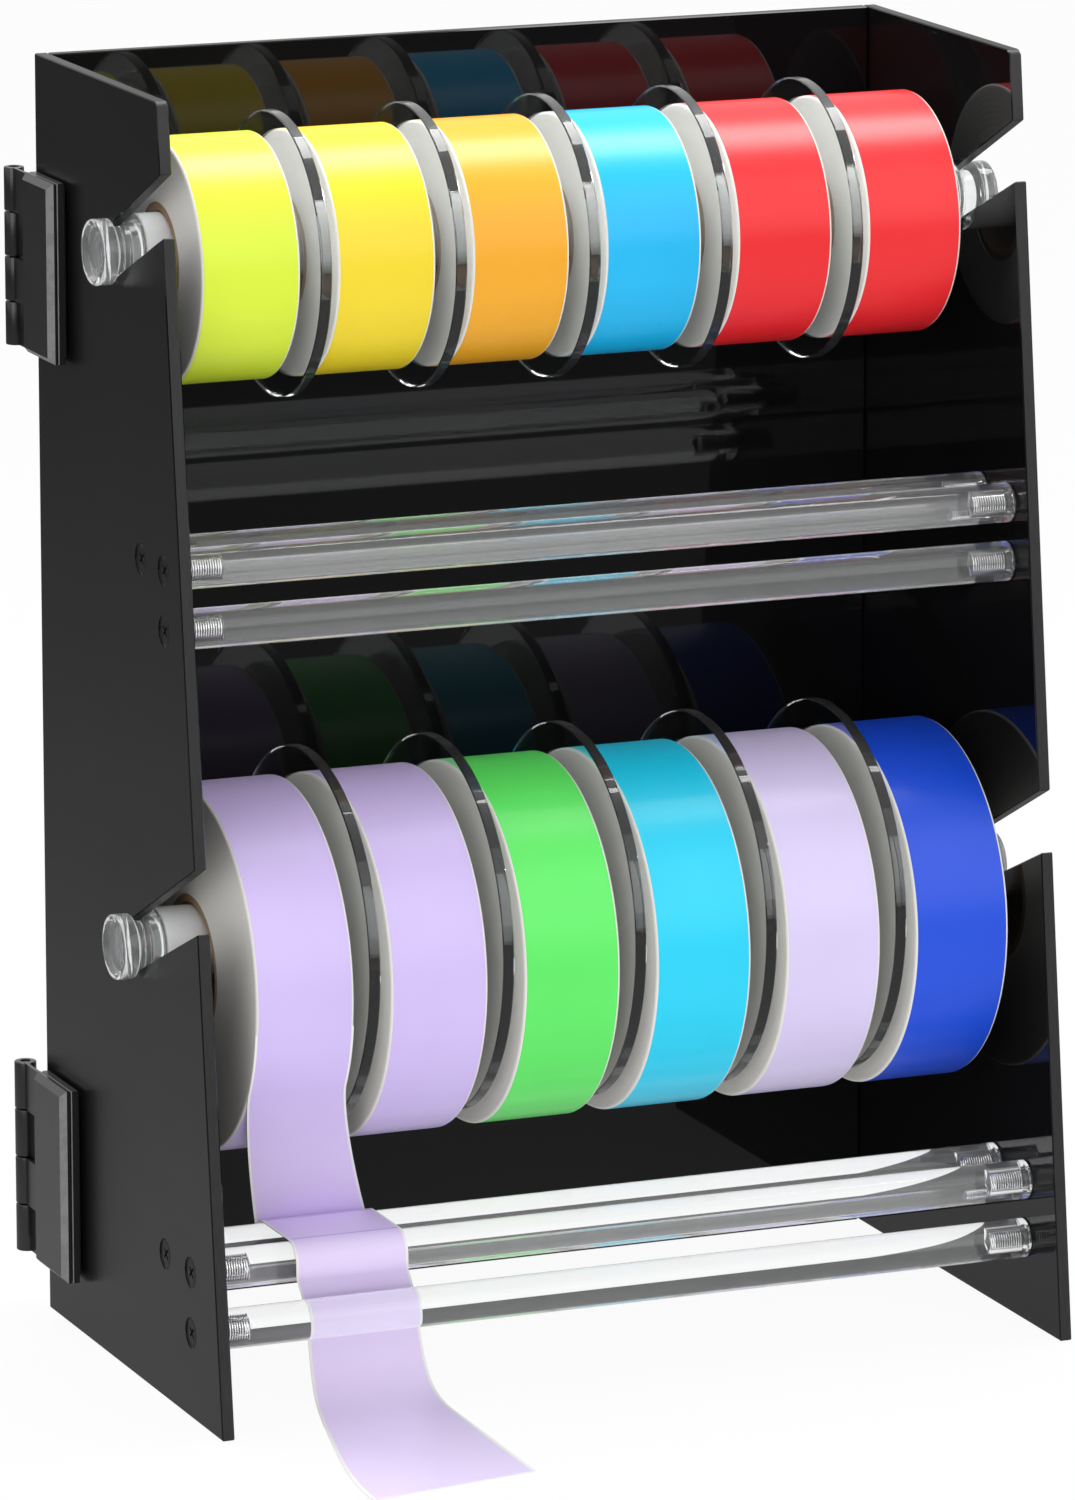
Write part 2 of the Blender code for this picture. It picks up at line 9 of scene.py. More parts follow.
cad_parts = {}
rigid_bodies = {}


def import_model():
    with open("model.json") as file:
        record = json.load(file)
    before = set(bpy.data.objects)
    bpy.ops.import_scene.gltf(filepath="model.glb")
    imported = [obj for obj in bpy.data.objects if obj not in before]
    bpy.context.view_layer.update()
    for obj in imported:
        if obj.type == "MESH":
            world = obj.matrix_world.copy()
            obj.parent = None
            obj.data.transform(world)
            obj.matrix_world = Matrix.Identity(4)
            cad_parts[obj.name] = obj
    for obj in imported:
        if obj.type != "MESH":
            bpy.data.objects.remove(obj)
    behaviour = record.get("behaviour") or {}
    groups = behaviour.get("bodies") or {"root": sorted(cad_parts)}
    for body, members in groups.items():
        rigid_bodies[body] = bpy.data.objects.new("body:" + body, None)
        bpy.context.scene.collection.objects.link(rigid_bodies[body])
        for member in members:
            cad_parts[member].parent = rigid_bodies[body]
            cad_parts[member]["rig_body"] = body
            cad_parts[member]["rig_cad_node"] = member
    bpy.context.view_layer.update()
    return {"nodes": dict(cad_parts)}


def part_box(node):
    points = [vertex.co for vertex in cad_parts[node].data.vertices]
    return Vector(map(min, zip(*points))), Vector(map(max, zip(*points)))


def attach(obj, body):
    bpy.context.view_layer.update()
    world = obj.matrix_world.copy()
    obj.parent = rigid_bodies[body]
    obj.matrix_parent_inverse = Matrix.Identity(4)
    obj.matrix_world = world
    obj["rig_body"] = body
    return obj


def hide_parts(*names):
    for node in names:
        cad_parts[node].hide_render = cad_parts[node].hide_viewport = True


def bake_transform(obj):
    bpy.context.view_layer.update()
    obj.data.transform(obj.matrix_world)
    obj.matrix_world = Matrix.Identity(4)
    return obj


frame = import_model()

# The camera stands to the left of the open front and a little above the rack, as far off as a
# long lens needs, so the upright edges stay nearly parallel.
CAMERA_SPOT = (-1.0446, -2.5926, 0.7999)
CAMERA_WAY = (0.37189, 0.90179, -0.22016)
FOCAL_LENGTH = 216.2
FILM_WIDTH = 36

bpy.context.scene.view_settings.view_transform = "Standard"
long_lens = bpy.data.cameras.new("long_lens")
long_lens.lens = FOCAL_LENGTH
long_lens.sensor_width = FILM_WIDTH
camera = bpy.data.objects.new("camera", long_lens)
camera.location = CAMERA_SPOT
camera.rotation_euler = Vector(CAMERA_WAY).to_track_quat("-Z", "Y").to_euler()
bpy.context.scene.collection.objects.link(camera)
bpy.context.scene.camera = camera


# The stand-in studio: a white paper floor, a long soft lamp overhead, a broad one in front, a small
# one at the left and even light all round. The white round the rack shows in full to the eye and
# through the clear acrylic, and fainter in a gloss.
class Tone:
    """One value over a surface, held as a node's output; sums on it add Math nodes."""

    def __init__(self, tree, socket):
        self.tree = tree
        self.socket = socket

    def node(self, kind, settings=None, inputs=None, output=0):
        """Any other node, from its type, its settings and the values or links of its sockets."""
        made = self.tree.nodes.new("ShaderNode" + kind)
        for setting, value in (settings or {}).items():
            setattr(made, setting, value)
        for name, value in (inputs or {}).items():
            if isinstance(value, Tone):
                self.tree.links.new(value.socket, made.inputs[name])
            else:
                made.inputs[name].default_value = value
        return Tone(self.tree, made.outputs[output])

    def sum(self, operation, *values):
        """One Math node on some values."""
        return self.node("Math", {"operation": operation}, dict(enumerate(values)))

    def __add__(self, other):
        return self.sum("ADD", self, other)

    def __radd__(self, other):
        return self.sum("ADD", other, self)

    def __sub__(self, other):
        return self.sum("SUBTRACT", self, other)

    def __rsub__(self, other):
        return self.sum("SUBTRACT", other, self)

    def __mul__(self, other):
        return self.sum("MULTIPLY", self, other)

    def __rmul__(self, other):
        return self.sum("MULTIPLY", other, self)

    def __truediv__(self, other):
        return self.sum("DIVIDE", self, other)

    def __rtruediv__(self, other):
        return self.sum("DIVIDE", other, self)

    def __pow__(self, other):
        return self.sum("POWER", self, other)

    def __rpow__(self, other):
        return self.sum("POWER", other, self)

    def __abs__(self):
        return self.sum("ABSOLUTE", self)

    def __lt__(self, other):
        return self.sum("LESS_THAN", self, other)

    def larger(self, other):
        """The larger of two values."""
        return self.sum("MAXIMUM", self, other)

    def blended(self, first, second):
        """A colour between two, by this value."""
        made = self.tree.nodes.new("ShaderNodeMix")
        made.data_type = "RGBA"
        self.tree.links.new(self.socket, made.inputs["Factor"])
        for socket, colour in (("A", first), ("B", second)):
            into = next(one for one in made.inputs if one.name == socket and one.type == "RGBA")
            if isinstance(colour, Tone):
                self.tree.links.new(colour.socket, into)
            else:
                into.default_value = (*colour, 1)
        return Tone(self.tree, next(one for one in made.outputs if one.type == "RGBA"))


def ray_kind(tree, kind):
    """1 on rays of one kind, and 0 on the rest."""
    return Tone(tree, None).node("LightPath", output=kind)


EVEN_LIGHT = 0.68
GLOSS_SKY = 0.28
sky = bpy.data.worlds.new("studio")
sky.use_nodes = True
bpy.context.scene.world = sky
background = sky.node_tree.nodes["Background"]
background.inputs["Color"].default_value = (1, 1, 1, 1)
seen = ray_kind(sky.node_tree, "Is Camera Ray").larger(
    ray_kind(sky.node_tree, "Is Transmission Ray")
).larger(ray_kind(sky.node_tree, "Is Glossy Ray") * GLOSS_SKY)
strength = seen.larger(EVEN_LIGHT)
sky.node_tree.links.new(strength.socket, background.inputs["Strength"])

FLOOR_SIZE = 14.0
FLOOR_DROP = 0.0002
FLOOR_SEEN = 0.94
FLOOR_BOUNCE = 0.56
FLOOR_TONE = (0.86, 0.86, 0.86)
# In a gloss the floor shows painted shade, a dark tone, with a painted pool of light round the rack.
FLOOR_SHADE_IN_GLOSS = (0.04, 0.04, 0.04)
POOL_LIGHT = 0.42
POOL_FADE = 0.36
bpy.ops.object.select_all(action="DESELECT")
bpy.ops.mesh.primitive_plane_add(size=FLOOR_SIZE, location=(0, 0, -FLOOR_DROP))
floor = bpy.context.object
floor.name = "floor"
paper = bpy.data.materials.new("white_paper")
paper.use_nodes = True
paper_tree = paper.node_tree
paper_tree.nodes.remove(paper_tree.nodes["Principled BSDF"])
glossed = ray_kind(paper_tree, "Is Glossy Ray")
lit = glossed.node("BsdfDiffuse", inputs={
    "Color": glossed.blended(FLOOR_TONE, FLOOR_SHADE_IN_GLOSS),
})
on_floor = Tone(paper_tree, None).node("TexCoord", output="Object")
far_off = on_floor.node("VectorMath", {"operation": "LENGTH"}, {"Vector": on_floor}, output="Value")
# Painted pool of light, seen only in a gloss, fading with distance from the rack.
painted_pool_of_light = POOL_FADE ** far_off * POOL_LIGHT
white = glossed.node("Emission", inputs={"Strength": 1.0})
shown = ray_kind(paper_tree, "Is Camera Ray").larger(ray_kind(paper_tree, "Is Transmission Ray"))
glow = (shown * FLOOR_SEEN).larger(ray_kind(paper_tree, "Is Diffuse Ray") * FLOOR_BOUNCE)
glow = glow.larger(glossed * painted_pool_of_light)
mixed = glow.node("MixShader", inputs={"Fac": glow, 1: lit, 2: white})
paper_tree.links.new(mixed.socket, paper_tree.nodes["Material Output"].inputs["Surface"])
floor.data.materials.append(paper)


RACK_MIDDLE = Vector((0, -0.06, 0.22))


def soft_lamp(name, spot, width, depth, power):
    """A rectangular soft lamp that faces the middle of the rack."""
    lamp_data = bpy.data.lights.new(name, "AREA")
    lamp_data.shape = "RECTANGLE"
    lamp_data.size = width
    lamp_data.size_y = depth
    lamp_data.energy = power
    lamp = bpy.data.objects.new(name, lamp_data)
    lamp.location = spot
    lamp.rotation_euler = (RACK_MIDDLE - Vector(spot)).to_track_quat("-Z", "Y").to_euler()
    bpy.context.scene.collection.objects.link(lamp)


soft_lamp("overhead_lamp", spot=(0.10, 0.18, 1.30), width=1.40, depth=0.40, power=15.0)
soft_lamp("front_lamp", spot=(0.45, -1.50, 1.00), width=2.20, depth=1.40, power=7.6)
soft_lamp("left_lamp", spot=(-1.50, -1.30, 0.60), width=1.20, depth=1.00, power=3.2)


# Three panels of 4 mm cast black acrylic, glued and screwed into an open box. The inner faces are
# polished and mirror what is near them, the outer ones are satin and the sawn edges are scraped.
def new_finish(name, colour, roughness, **constants):
    """A material with its Principled shader, and Object coordinates to draw patterns on."""
    material = bpy.data.materials.new(name)
    material.use_nodes = True
    tree = material.node_tree
    shader = tree.nodes["Principled BSDF"]
    shader.inputs["Base Color"].default_value = (*colour, 1)
    shader.inputs["Roughness"].default_value = roughness
    for socket, value in constants.items():
        shader.inputs[socket.replace("_", " ")].default_value = value
    place = Tone(tree, None).node("TexCoord", output="Object")
    return material, shader, place


def feed(shader, socket, tone):
    """Let a tone drive one socket of a shader."""
    tone.tree.links.new(tone.socket, shader.inputs[socket])


def noise(place, scale, detail=3, stretch=(1, 1, 1)):
    """Cloudy noise from 0 to 1, finer by its scale and squeezed along the axes by its stretch."""
    if stretch != (1, 1, 1):
        place = place.node("Mapping", inputs={"Vector": place, "Scale": stretch})
    return place.node("TexNoise", inputs={"Vector": place, "Scale": scale, "Detail": detail})


def bump(shader, tone, height, strength=1.0):
    """Raise the surface by a tone, up to a height in metres."""
    raised = tone.node("Bump", inputs={"Height": tone, "Distance": height, "Strength": strength})
    feed(shader, "Normal", raised)


BLACK = (0.004, 0.004, 0.0045)
WIPED_BLACK = (0.007, 0.007, 0.0075)
CHAMFER = 0.00035
HOLE_ROOM = 0.0075
SCRAPED_BLACK = (0.030, 0.030, 0.031)
SCRAPED_DARK = (0.016, 0.016, 0.017)
SCRAPED_PALE = (0.040, 0.040, 0.041)
ACRYLIC_IOR = 1.49
WELD = 0.00001
FLAT_ANGLE = math.radians(1)
SMOOTH_ANGLE = math.radians(30)
FACE_ON = 0.9
EDGE_ON = 0.5

polished, shader, place = new_finish(
    "polished_black_acrylic", BLACK, roughness=0.03, IOR=ACRYLIC_IOR, Specular_IOR_Level=0.36
)
wiped = noise(place, scale=26, detail=5, stretch=(1, 1, 3))
feed(shader, "Roughness", 0.02 + 0.045 * wiped ** 2)
feed(shader, "Base Color", noise(place, scale=9).blended(BLACK, WIPED_BLACK))
bump(shader, noise(place, scale=18, detail=1), height=0.00002, strength=0.4)

satin, shader, place = new_finish(
    "satin_black_acrylic", BLACK, roughness=0.3, IOR=ACRYLIC_IOR, Specular_IOR_Level=0.43
)
wiped = noise(place, scale=26, detail=5, stretch=(1, 1, 3))
feed(shader, "Roughness", 0.27 + 0.06 * wiped)
feed(shader, "Base Color", noise(place, scale=9).blended(BLACK, WIPED_BLACK))

sawn, shader, place = new_finish(
    "scraped_black_edge", SCRAPED_BLACK, roughness=0.35, IOR=ACRYLIC_IOR, Specular_IOR_Level=0.3
)
scraped = noise(place, scale=240, stretch=(12, 1, 1))
feed(shader, "Roughness", 0.28 + 0.16 * scraped)
feed(shader, "Base Color", scraped.blended(SCRAPED_DARK, SCRAPED_PALE))
bump(shader, scraped, height=0.00003, strength=0.5)


def only(piece):
    """Make one object the selected and active one."""
    bpy.ops.object.select_all(action="DESELECT")
    piece.select_set(True)
    bpy.context.view_layer.objects.active = piece


def merged_copy(node, name):
    """A copy of a CAD node, its loose triangles merged, for a piece that stands for it."""
    piece = frame["nodes"][node].copy()
    piece.data = piece.data.copy()
    piece.name = name
    piece.parent = None
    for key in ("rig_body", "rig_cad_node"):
        del piece[key]
    piece.data.materials.clear()
    bpy.context.scene.collection.objects.link(piece)
    only(piece)
    bpy.ops.mesh.customdata_custom_splitnormals_clear()
    bpy.ops.object.mode_set(mode="EDIT")
    bpy.ops.mesh.select_all(action="SELECT")
    bpy.ops.mesh.remove_doubles(threshold=WELD)
    bpy.ops.mesh.dissolve_limited(angle_limit=FLAT_ANGLE)
    bpy.ops.object.mode_set(mode="OBJECT")
    return piece


def seated(piece, body, slot, *nodes):
    """Fix a finished piece to its body and hide the nodes that it stands for; the slot of its finish
    is not used.
    """
    only(piece)
    bpy.ops.object.transform_apply(location=True, rotation=True, scale=True)
    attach(piece, body)
    if nodes:
        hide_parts(*nodes)


def coat(piece, *finishes):
    """Give a piece its finishes: a material, then pairs of a material and a test of its faces."""
    first, *others = finishes
    piece.data.materials.clear()
    piece.data.materials.append(first)
    for face in piece.data.polygons:
        face.material_index = 0
    for number, (material, test) in enumerate(others, start=1):
        piece.data.materials.append(material)
        for face in piece.data.polygons:
            if test(face.center, face.normal):
                face.material_index = number


screw_names = [node for node in frame["nodes"] if node.endswith("_screw")]
screw_spots = [(low + high) / 2 for low, high in map(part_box, screw_names)]


def at_a_screw(point):
    """Whether a point of a side panel lies at one of its screw holes."""
    return any(math.hypot(point.y - one.y, point.z - one.z) < HOLE_ROOM for one in screw_spots)


for node in ("left_side_panel", "right_side_panel", "back_panel"):
    panel = merged_copy(node, node + "_sheet")
    mesh = bmesh.new()
    mesh.from_mesh(panel.data)
    mesh.select_mode = {"EDGE"}
    for edge in mesh.edges:
        sharp = edge.is_manifold and edge.calc_face_angle() > SMOOTH_ANGLE
        middle = (edge.verts[0].co + edge.verts[1].co) / 2
        edge.select_set(sharp and not at_a_screw(middle))
    mesh.select_flush_mode()
    mesh.to_mesh(panel.data)
    mesh.free()
    bpy.context.tool_settings.mesh_select_mode = (False, True, False)
    bpy.ops.object.mode_set(mode="EDIT")
    bpy.ops.mesh.bevel(offset=CHAMFER, segments=1, loop_slide=False)
    bpy.ops.object.mode_set(mode="OBJECT")
    bpy.ops.object.shade_smooth_by_angle(angle=SMOOTH_ANGLE)
    flat_way = 1 if node == "back_panel" else 0
    outward = -1 if node == "left_side_panel" else 1
    coat(
        panel, polished,
        (satin, lambda spot, way: way[flat_way] * outward > FACE_ON),
        (sawn, lambda spot, way: abs(way[flat_way]) < EDGE_ON and not at_a_screw(spot)),
    )
    seated(panel, "frame", "black_acrylic", node)


# Six guide rods of clear 12 mm acrylic, three to a tier. Each end is drilled and tapped, and the
# thread shows as a silvery ribbed sleeve through the rod.
TAP_RADIUS = 0.0027
TAP_DEPTH = 0.0135
TAP_CONE = 0.0012
TAP_POINT = 0.05
THREAD_PITCH = 0.0008
THREAD_DEPTH = 0.00035
THREAD_LEAD = THREAD_PITCH / 4
END_BREAK = 0.0003
ROD_SIDES = 64
ROD_COLOUR = (0.98, 0.985, 0.985)
ROD_TINT = (0.97, 0.98, 0.98)
ROD_CLEAR = (0.99, 0.995, 0.995)
CLEAR_SHADOW = (0.9, 0.92, 0.92, 1)


def drawn_out(name, profile, sides, centre, ring=False):
    """A turned piece round X: a circle drawn out and scaled from one (X, radius) to the next."""
    (along, radius), *rest = profile
    bpy.ops.object.select_all(action="DESELECT")
    bpy.ops.mesh.primitive_circle_add(
        vertices=sides, radius=radius, location=centre + Vector((along, 0, 0)),
        rotation=(0, math.pi / 2, 0),
    )
    piece = bpy.context.object
    piece.name = name
    bpy.ops.object.mode_set(mode="EDIT")
    for next_along, next_radius in rest:
        bpy.ops.mesh.extrude_region_move(
            TRANSFORM_OT_translate={"value": (next_along - along, 0, 0)}
        )
        growth = next_radius / radius
        bpy.ops.transform.resize(
            value=(1, growth, growth), center_override=centre + Vector((next_along, 0, 0))
        )
        along, radius = next_along, next_radius
    bpy.ops.mesh.select_all(action="SELECT")
    if ring:
        bpy.ops.mesh.select_mode(type="EDGE")
        bpy.ops.mesh.select_all(action="DESELECT")
        bpy.ops.mesh.select_non_manifold()
        bpy.ops.mesh.bridge_edge_loops()
    else:
        bpy.ops.mesh.fill_holes(sides=0)
    bpy.ops.mesh.select_all(action="SELECT")
    bpy.ops.mesh.normals_make_consistent(inside=False)
    bpy.ops.object.mode_set(mode="OBJECT")
    bpy.ops.object.shade_smooth_by_angle(angle=SMOOTH_ANGLE)
    bpy.ops.object.transform_apply(location=True, rotation=True, scale=True)
    return piece


def copied(piece, name, change):
    """A copy with its own mesh, carried by a matrix to its own place."""
    other = piece.copy()
    other.data = piece.data.copy()
    other.data.transform(change)
    other.name = name
    bpy.context.scene.collection.objects.link(other)
    return other


def let_lamps_through(shader):
    """Let light from the lamps pass a clear piece, so that what is behind or inside it is lit."""
    tree = shader.id_data
    shadow = ray_kind(tree, "Is Shadow Ray")
    passed = shadow.node("BsdfTransparent", inputs={"Color": CLEAR_SHADOW})
    chosen = shadow.node("MixShader", inputs={
        "Fac": shadow, 1: Tone(tree, shader.outputs[0]), 2: passed,
    })
    tree.links.new(chosen.socket, tree.nodes["Material Output"].inputs["Surface"])


drawn_rod, shader, place = new_finish(
    "drawn_clear_acrylic", ROD_COLOUR, roughness=0.01, IOR=ACRYLIC_IOR, Transmission_Weight=0.95,
)
let_lamps_through(shader)
lines = noise(place, scale=120, detail=2, stretch=(0.02, 1, 1))
feed(shader, "Roughness", 0.004 * lines)
feed(shader, "Base Color", lines.blended(ROD_TINT, ROD_CLEAR))

rod_names = [node for node in frame["nodes"] if node.endswith("_rod")]
low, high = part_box(rod_names[0])
rod_half = (high.x - low.x) / 2
rod_radius = (high.z - low.z) / 2
tap_foot = rod_half - TAP_DEPTH
tap = [(tap_foot - TAP_CONE, TAP_RADIUS * TAP_POINT), (tap_foot, TAP_RADIUS)]
turns = int(TAP_DEPTH / THREAD_PITCH) - 1
for turn in range(turns):
    root = tap_foot + THREAD_LEAD + turn * THREAD_PITCH
    tap.append((root, TAP_RADIUS))
    tap.append((root + THREAD_PITCH / 2, TAP_RADIUS - THREAD_DEPTH))
tap.append((rod_half - END_BREAK, TAP_RADIUS))
outer = [(rod_half, TAP_RADIUS + END_BREAK), (rod_half, rod_radius - END_BREAK),
         (rod_half - END_BREAK, rod_radius)]
half_rod = tap + outer
whole_rod = half_rod + [(-along, radius) for along, radius in reversed(half_rod)]
first_rod = drawn_out("rod", whole_rod, ROD_SIDES, Vector((0, 0, 0)))
coat(first_rod, drawn_rod)
for node in rod_names:
    low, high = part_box(node)
    rod = copied(first_rod, node + "_clear", Matrix.Translation((low + high) / 2))
    seated(rod, "frame", "clear_acrylic", node)
bpy.data.objects.remove(first_rod)


# Twelve black countersunk machine screws, M5 by 16, with a cross recess pressed into the head.
# They pass through the side panels into the ends of the rods.
HEAD_SIDES = 48
HEAD_RADIUS = 0.0046
HEAD_RIM = 0.0004
HEAD_CROWN = 0.00012
HEAD_CONE = 0.0023
SHANK_RADIUS = 0.0021
CREST = 0.00022
SCREW_LENGTH = 0.0157
RECESS_REACH = 0.0030
RECESS_WIDTH = 0.0013
RECESS_DEPTH = 0.0017
RECESS_TAPER = 0.45
POINT_TAPER = 0.7
OXIDE_BLACK = (0.02, 0.02, 0.022)
OXIDE_DARK = (0.005, 0.005, 0.0055)
OXIDE_PALE = (0.028, 0.028, 0.030)

oxide, shader, place = new_finish(
    "black_oxide_steel", OXIDE_BLACK, roughness=0.35, Metallic=0.25, Specular_IOR_Level=0.25
)
worn = noise(place, scale=420, detail=4)
feed(shader, "Roughness", 0.26 + 0.2 * worn)
feed(shader, "Base Color", worn.blended(OXIDE_DARK, OXIDE_PALE))
bump(shader, worn, height=0.00002, strength=0.5)

screw_profile = [(0.0, HEAD_RADIUS - HEAD_RIM), (-HEAD_CROWN, HEAD_RADIUS - HEAD_RIM / 3),
                 (-HEAD_RIM, HEAD_RADIUS), (-HEAD_RIM - HEAD_CONE, SHANK_RADIUS)]
while screw_profile[-1][0] > -SCREW_LENGTH + THREAD_PITCH:
    along = screw_profile[-1][0]
    screw_profile.append((along - THREAD_PITCH / 2, SHANK_RADIUS + CREST))
    screw_profile.append((along - THREAD_PITCH, SHANK_RADIUS))
screw_profile.append((-SCREW_LENGTH, SHANK_RADIUS * POINT_TAPER))
first_screw = drawn_out("screw", screw_profile, HEAD_SIDES, Vector((0, 0, 0)))
for quarter in (0, 1):
    bpy.ops.object.select_all(action="DESELECT")
    bpy.ops.mesh.primitive_cube_add(size=1, location=(0, 0, 0))
    wing = bpy.context.object
    wing.scale = (2 * RECESS_DEPTH, 2 * RECESS_REACH, RECESS_WIDTH)
    wing.rotation_euler = (math.pi / 4 + quarter * math.pi / 2, 0, 0)
    bpy.ops.object.transform_apply(location=True, rotation=True, scale=True)
    for corner in wing.data.vertices:
        if corner.co.x < 0:
            corner.co.y *= RECESS_TAPER
            corner.co.z *= RECESS_TAPER
    cut = first_screw.modifiers.new("recess", "BOOLEAN")
    cut.object = wing
    only(first_screw)
    bpy.ops.object.modifier_apply(modifier=cut.name)
    bpy.data.objects.remove(wing)
coat(first_screw, oxide)
bpy.ops.object.shade_smooth_by_angle(angle=SMOOTH_ANGLE)
for node in screw_names:
    low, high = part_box(node)
    head = Vector((high.x, (low.y + high.y) / 2, (low.z + high.z) / 2))
    turned = Matrix.Identity(4)
    if node.endswith("_left_screw"):
        head.x = low.x
        turned = Matrix.Rotation(math.pi, 4, "Z")
    screw = copied(first_screw, node + "_cross_head", Matrix.Translation(head) @ turned)
    seated(screw, "frame", "screw_metal", node)
bpy.data.objects.remove(first_screw)


# Two butt hinges of black lacquered steel, stuck on the left panel with a foam pad each. They are
# folded shut: the fixed leaf lies on its pad and the free leaf over it, and both turn on one pin.
LACQUER_BLACK = (0.012, 0.012, 0.013)
LACQUER_DARK = (0.010, 0.010, 0.011)
LACQUER_PALE = (0.020, 0.020, 0.021)
# Light grey painted on the leaf chamfers that face out, forward and down: a painted highlight from
# the floor and the left lamp.
BEVEL_HIGHLIGHT_GREY = (0.24, 0.24, 0.24)
BEVEL_HIGHLIGHT_DARK = (0.15, 0.15, 0.15)
BEVEL_HIGHLIGHT_PALE = (0.32, 0.32, 0.32)
FOAM_BLACK = (0.02, 0.02, 0.02)
FOAM_DARK = (0.010, 0.010, 0.010)
FOAM_PALE = (0.035, 0.035, 0.035)

lacquer, shader, place = new_finish(
    "black_lacquered_steel", LACQUER_BLACK, roughness=0.2, IOR=1.5, Specular_IOR_Level=0.9
)
peel = noise(place, scale=130, detail=2)
feed(shader, "Roughness", 0.14 + 0.14 * peel)
feed(shader, "Base Color", noise(place, scale=30).blended(LACQUER_DARK, LACQUER_PALE))
bump(shader, peel, height=0.00003, strength=0.35)

painted_bevel_highlight, shader, place = new_finish("lacquer_with_painted_bevel_highlight", BEVEL_HIGHLIGHT_GREY, roughness=0.25, IOR=1.5)
bevel_highlight_mottle = noise(place, scale=160)
feed(shader, "Base Color", bevel_highlight_mottle.blended(BEVEL_HIGHLIGHT_DARK, BEVEL_HIGHLIGHT_PALE))
feed(shader, "Roughness", 0.2 + 0.15 * bevel_highlight_mottle)

foam, shader, place = new_finish("black_foam", FOAM_BLACK, roughness=0.95)
cells = noise(place, scale=1500, detail=2)
feed(shader, "Base Color", cells.blended(FOAM_DARK, FOAM_PALE))
bump(shader, cells, height=0.0001, strength=0.8)

KNUCKLES = 4
KNUCKLE_GAP = 0.0004
KNUCKLE_ROUND = 0.00035
KNUCKLE_SIDES = 48
ROUND_STEPS = 3
FREE_KNUCKLES = (1, 3)
FIXED_KNUCKLES = (0, 2)
LEAF_THICKNESS = 0.0022
LEAF_OFF_MIDDLE = 0.0002
LEAF_CHAMFER = 0.0019
LEAF_BREAK = 0.0003
BEVEL_SLANT = 0.3
WEB_THICKNESS = 0.0011
WEB_REACH = 4.3
PIN_RADIUS = 0.0015
PIN_CROWN = 0.0004
BORE_OVERRUN = 0.0075


def upright_barrel(radius, foot, top, axis, rounding=0.0):
    """An upright cylinder on a hinge's axis, its rims rounded."""
    bpy.ops.object.select_all(action="DESELECT")
    bpy.ops.mesh.primitive_cylinder_add(
        vertices=KNUCKLE_SIDES, radius=radius, depth=top - foot,
        location=(axis.x, axis.y, (foot + top) / 2),
    )
    barrel = bpy.context.object
    if rounding:
        soften = barrel.modifiers.new("rim", "BEVEL")
        soften.width = rounding
        soften.segments = ROUND_STEPS
        bpy.ops.object.modifier_apply(modifier=soften.name)
    bpy.ops.object.transform_apply(location=True, rotation=True, scale=True)
    return barrel


def join_or_cut(piece, other, operation):
    """Join another solid to a piece, or cut it away, and drop the other."""
    change = piece.modifiers.new(operation.lower(), "BOOLEAN")
    change.operation = operation
    change.object = other
    only(piece)
    bpy.ops.object.modifier_apply(modifier=change.name)
    bpy.data.objects.remove(other)


def leaf_piece(name, plate_low, plate_high, axis, radius, own, chamfer):
    """A hinge leaf: a plate with chamfered outer edges, and its own knuckles on thin webs."""
    inner_x = min((plate_low.x, plate_high.x), key=lambda side: abs(side - axis.x))
    plate_high.y = axis.y - WEB_REACH * radius
    bpy.ops.object.select_all(action="DESELECT")
    bpy.ops.mesh.primitive_cube_add(size=1, location=(plate_low + plate_high) / 2)
    leaf = bpy.context.object
    leaf.name = name
    leaf.scale = plate_high - plate_low
    bpy.ops.object.transform_apply(location=True, rotation=True, scale=True)
    mesh = bmesh.new()
    mesh.from_mesh(leaf.data)
    mesh.select_mode = {"EDGE"}
    for edge in mesh.edges:
        edge.select_set(all(vert.co.x < plate_low.x + WELD for vert in edge.verts))
    mesh.select_flush_mode()
    mesh.to_mesh(leaf.data)
    mesh.free()
    bpy.context.tool_settings.mesh_select_mode = (False, True, False)
    bpy.ops.object.mode_set(mode="EDIT")
    bpy.ops.mesh.bevel(offset=chamfer, segments=1)
    bpy.ops.object.mode_set(mode="OBJECT")
    height = (plate_high.z - plate_low.z) / KNUCKLES
    for number in own:
        foot = plate_low.z + number * height + KNUCKLE_GAP / 2
        top = plate_low.z + (number + 1) * height - KNUCKLE_GAP / 2
        bpy.ops.object.select_all(action="DESELECT")
        bpy.ops.mesh.primitive_cube_add(size=1, location=(
            inner_x + math.copysign(WEB_THICKNESS / 2, inner_x - axis.x),
            (plate_high.y - LEAF_BREAK + axis.y) / 2, (foot + top) / 2,
        ))
        web = bpy.context.object
        web.scale = (WEB_THICKNESS, axis.y - plate_high.y + LEAF_BREAK, top - foot)
        bpy.ops.object.transform_apply(location=True, rotation=True, scale=True)
        join_or_cut(leaf, web, "UNION")
        join_or_cut(leaf, upright_barrel(radius, foot, top, axis, KNUCKLE_ROUND), "UNION")
    bore = upright_barrel(PIN_RADIUS + KNUCKLE_GAP / 2, plate_low.z - BORE_OVERRUN,
                          plate_high.z + BORE_OVERRUN, axis)
    join_or_cut(leaf, bore, "DIFFERENCE")
    only(leaf)
    bpy.ops.object.shade_smooth_by_angle(angle=SMOOTH_ANGLE)
    # Chamfers facing out, forward and down take the painted highlight.
    coat(leaf, lacquer, (painted_bevel_highlight, lambda spot, way: (
        way.x < -BEVEL_SLANT and max(-way.y, -way.z) > BEVEL_SLANT and spot.y < plate_high.y
    )))
    return leaf


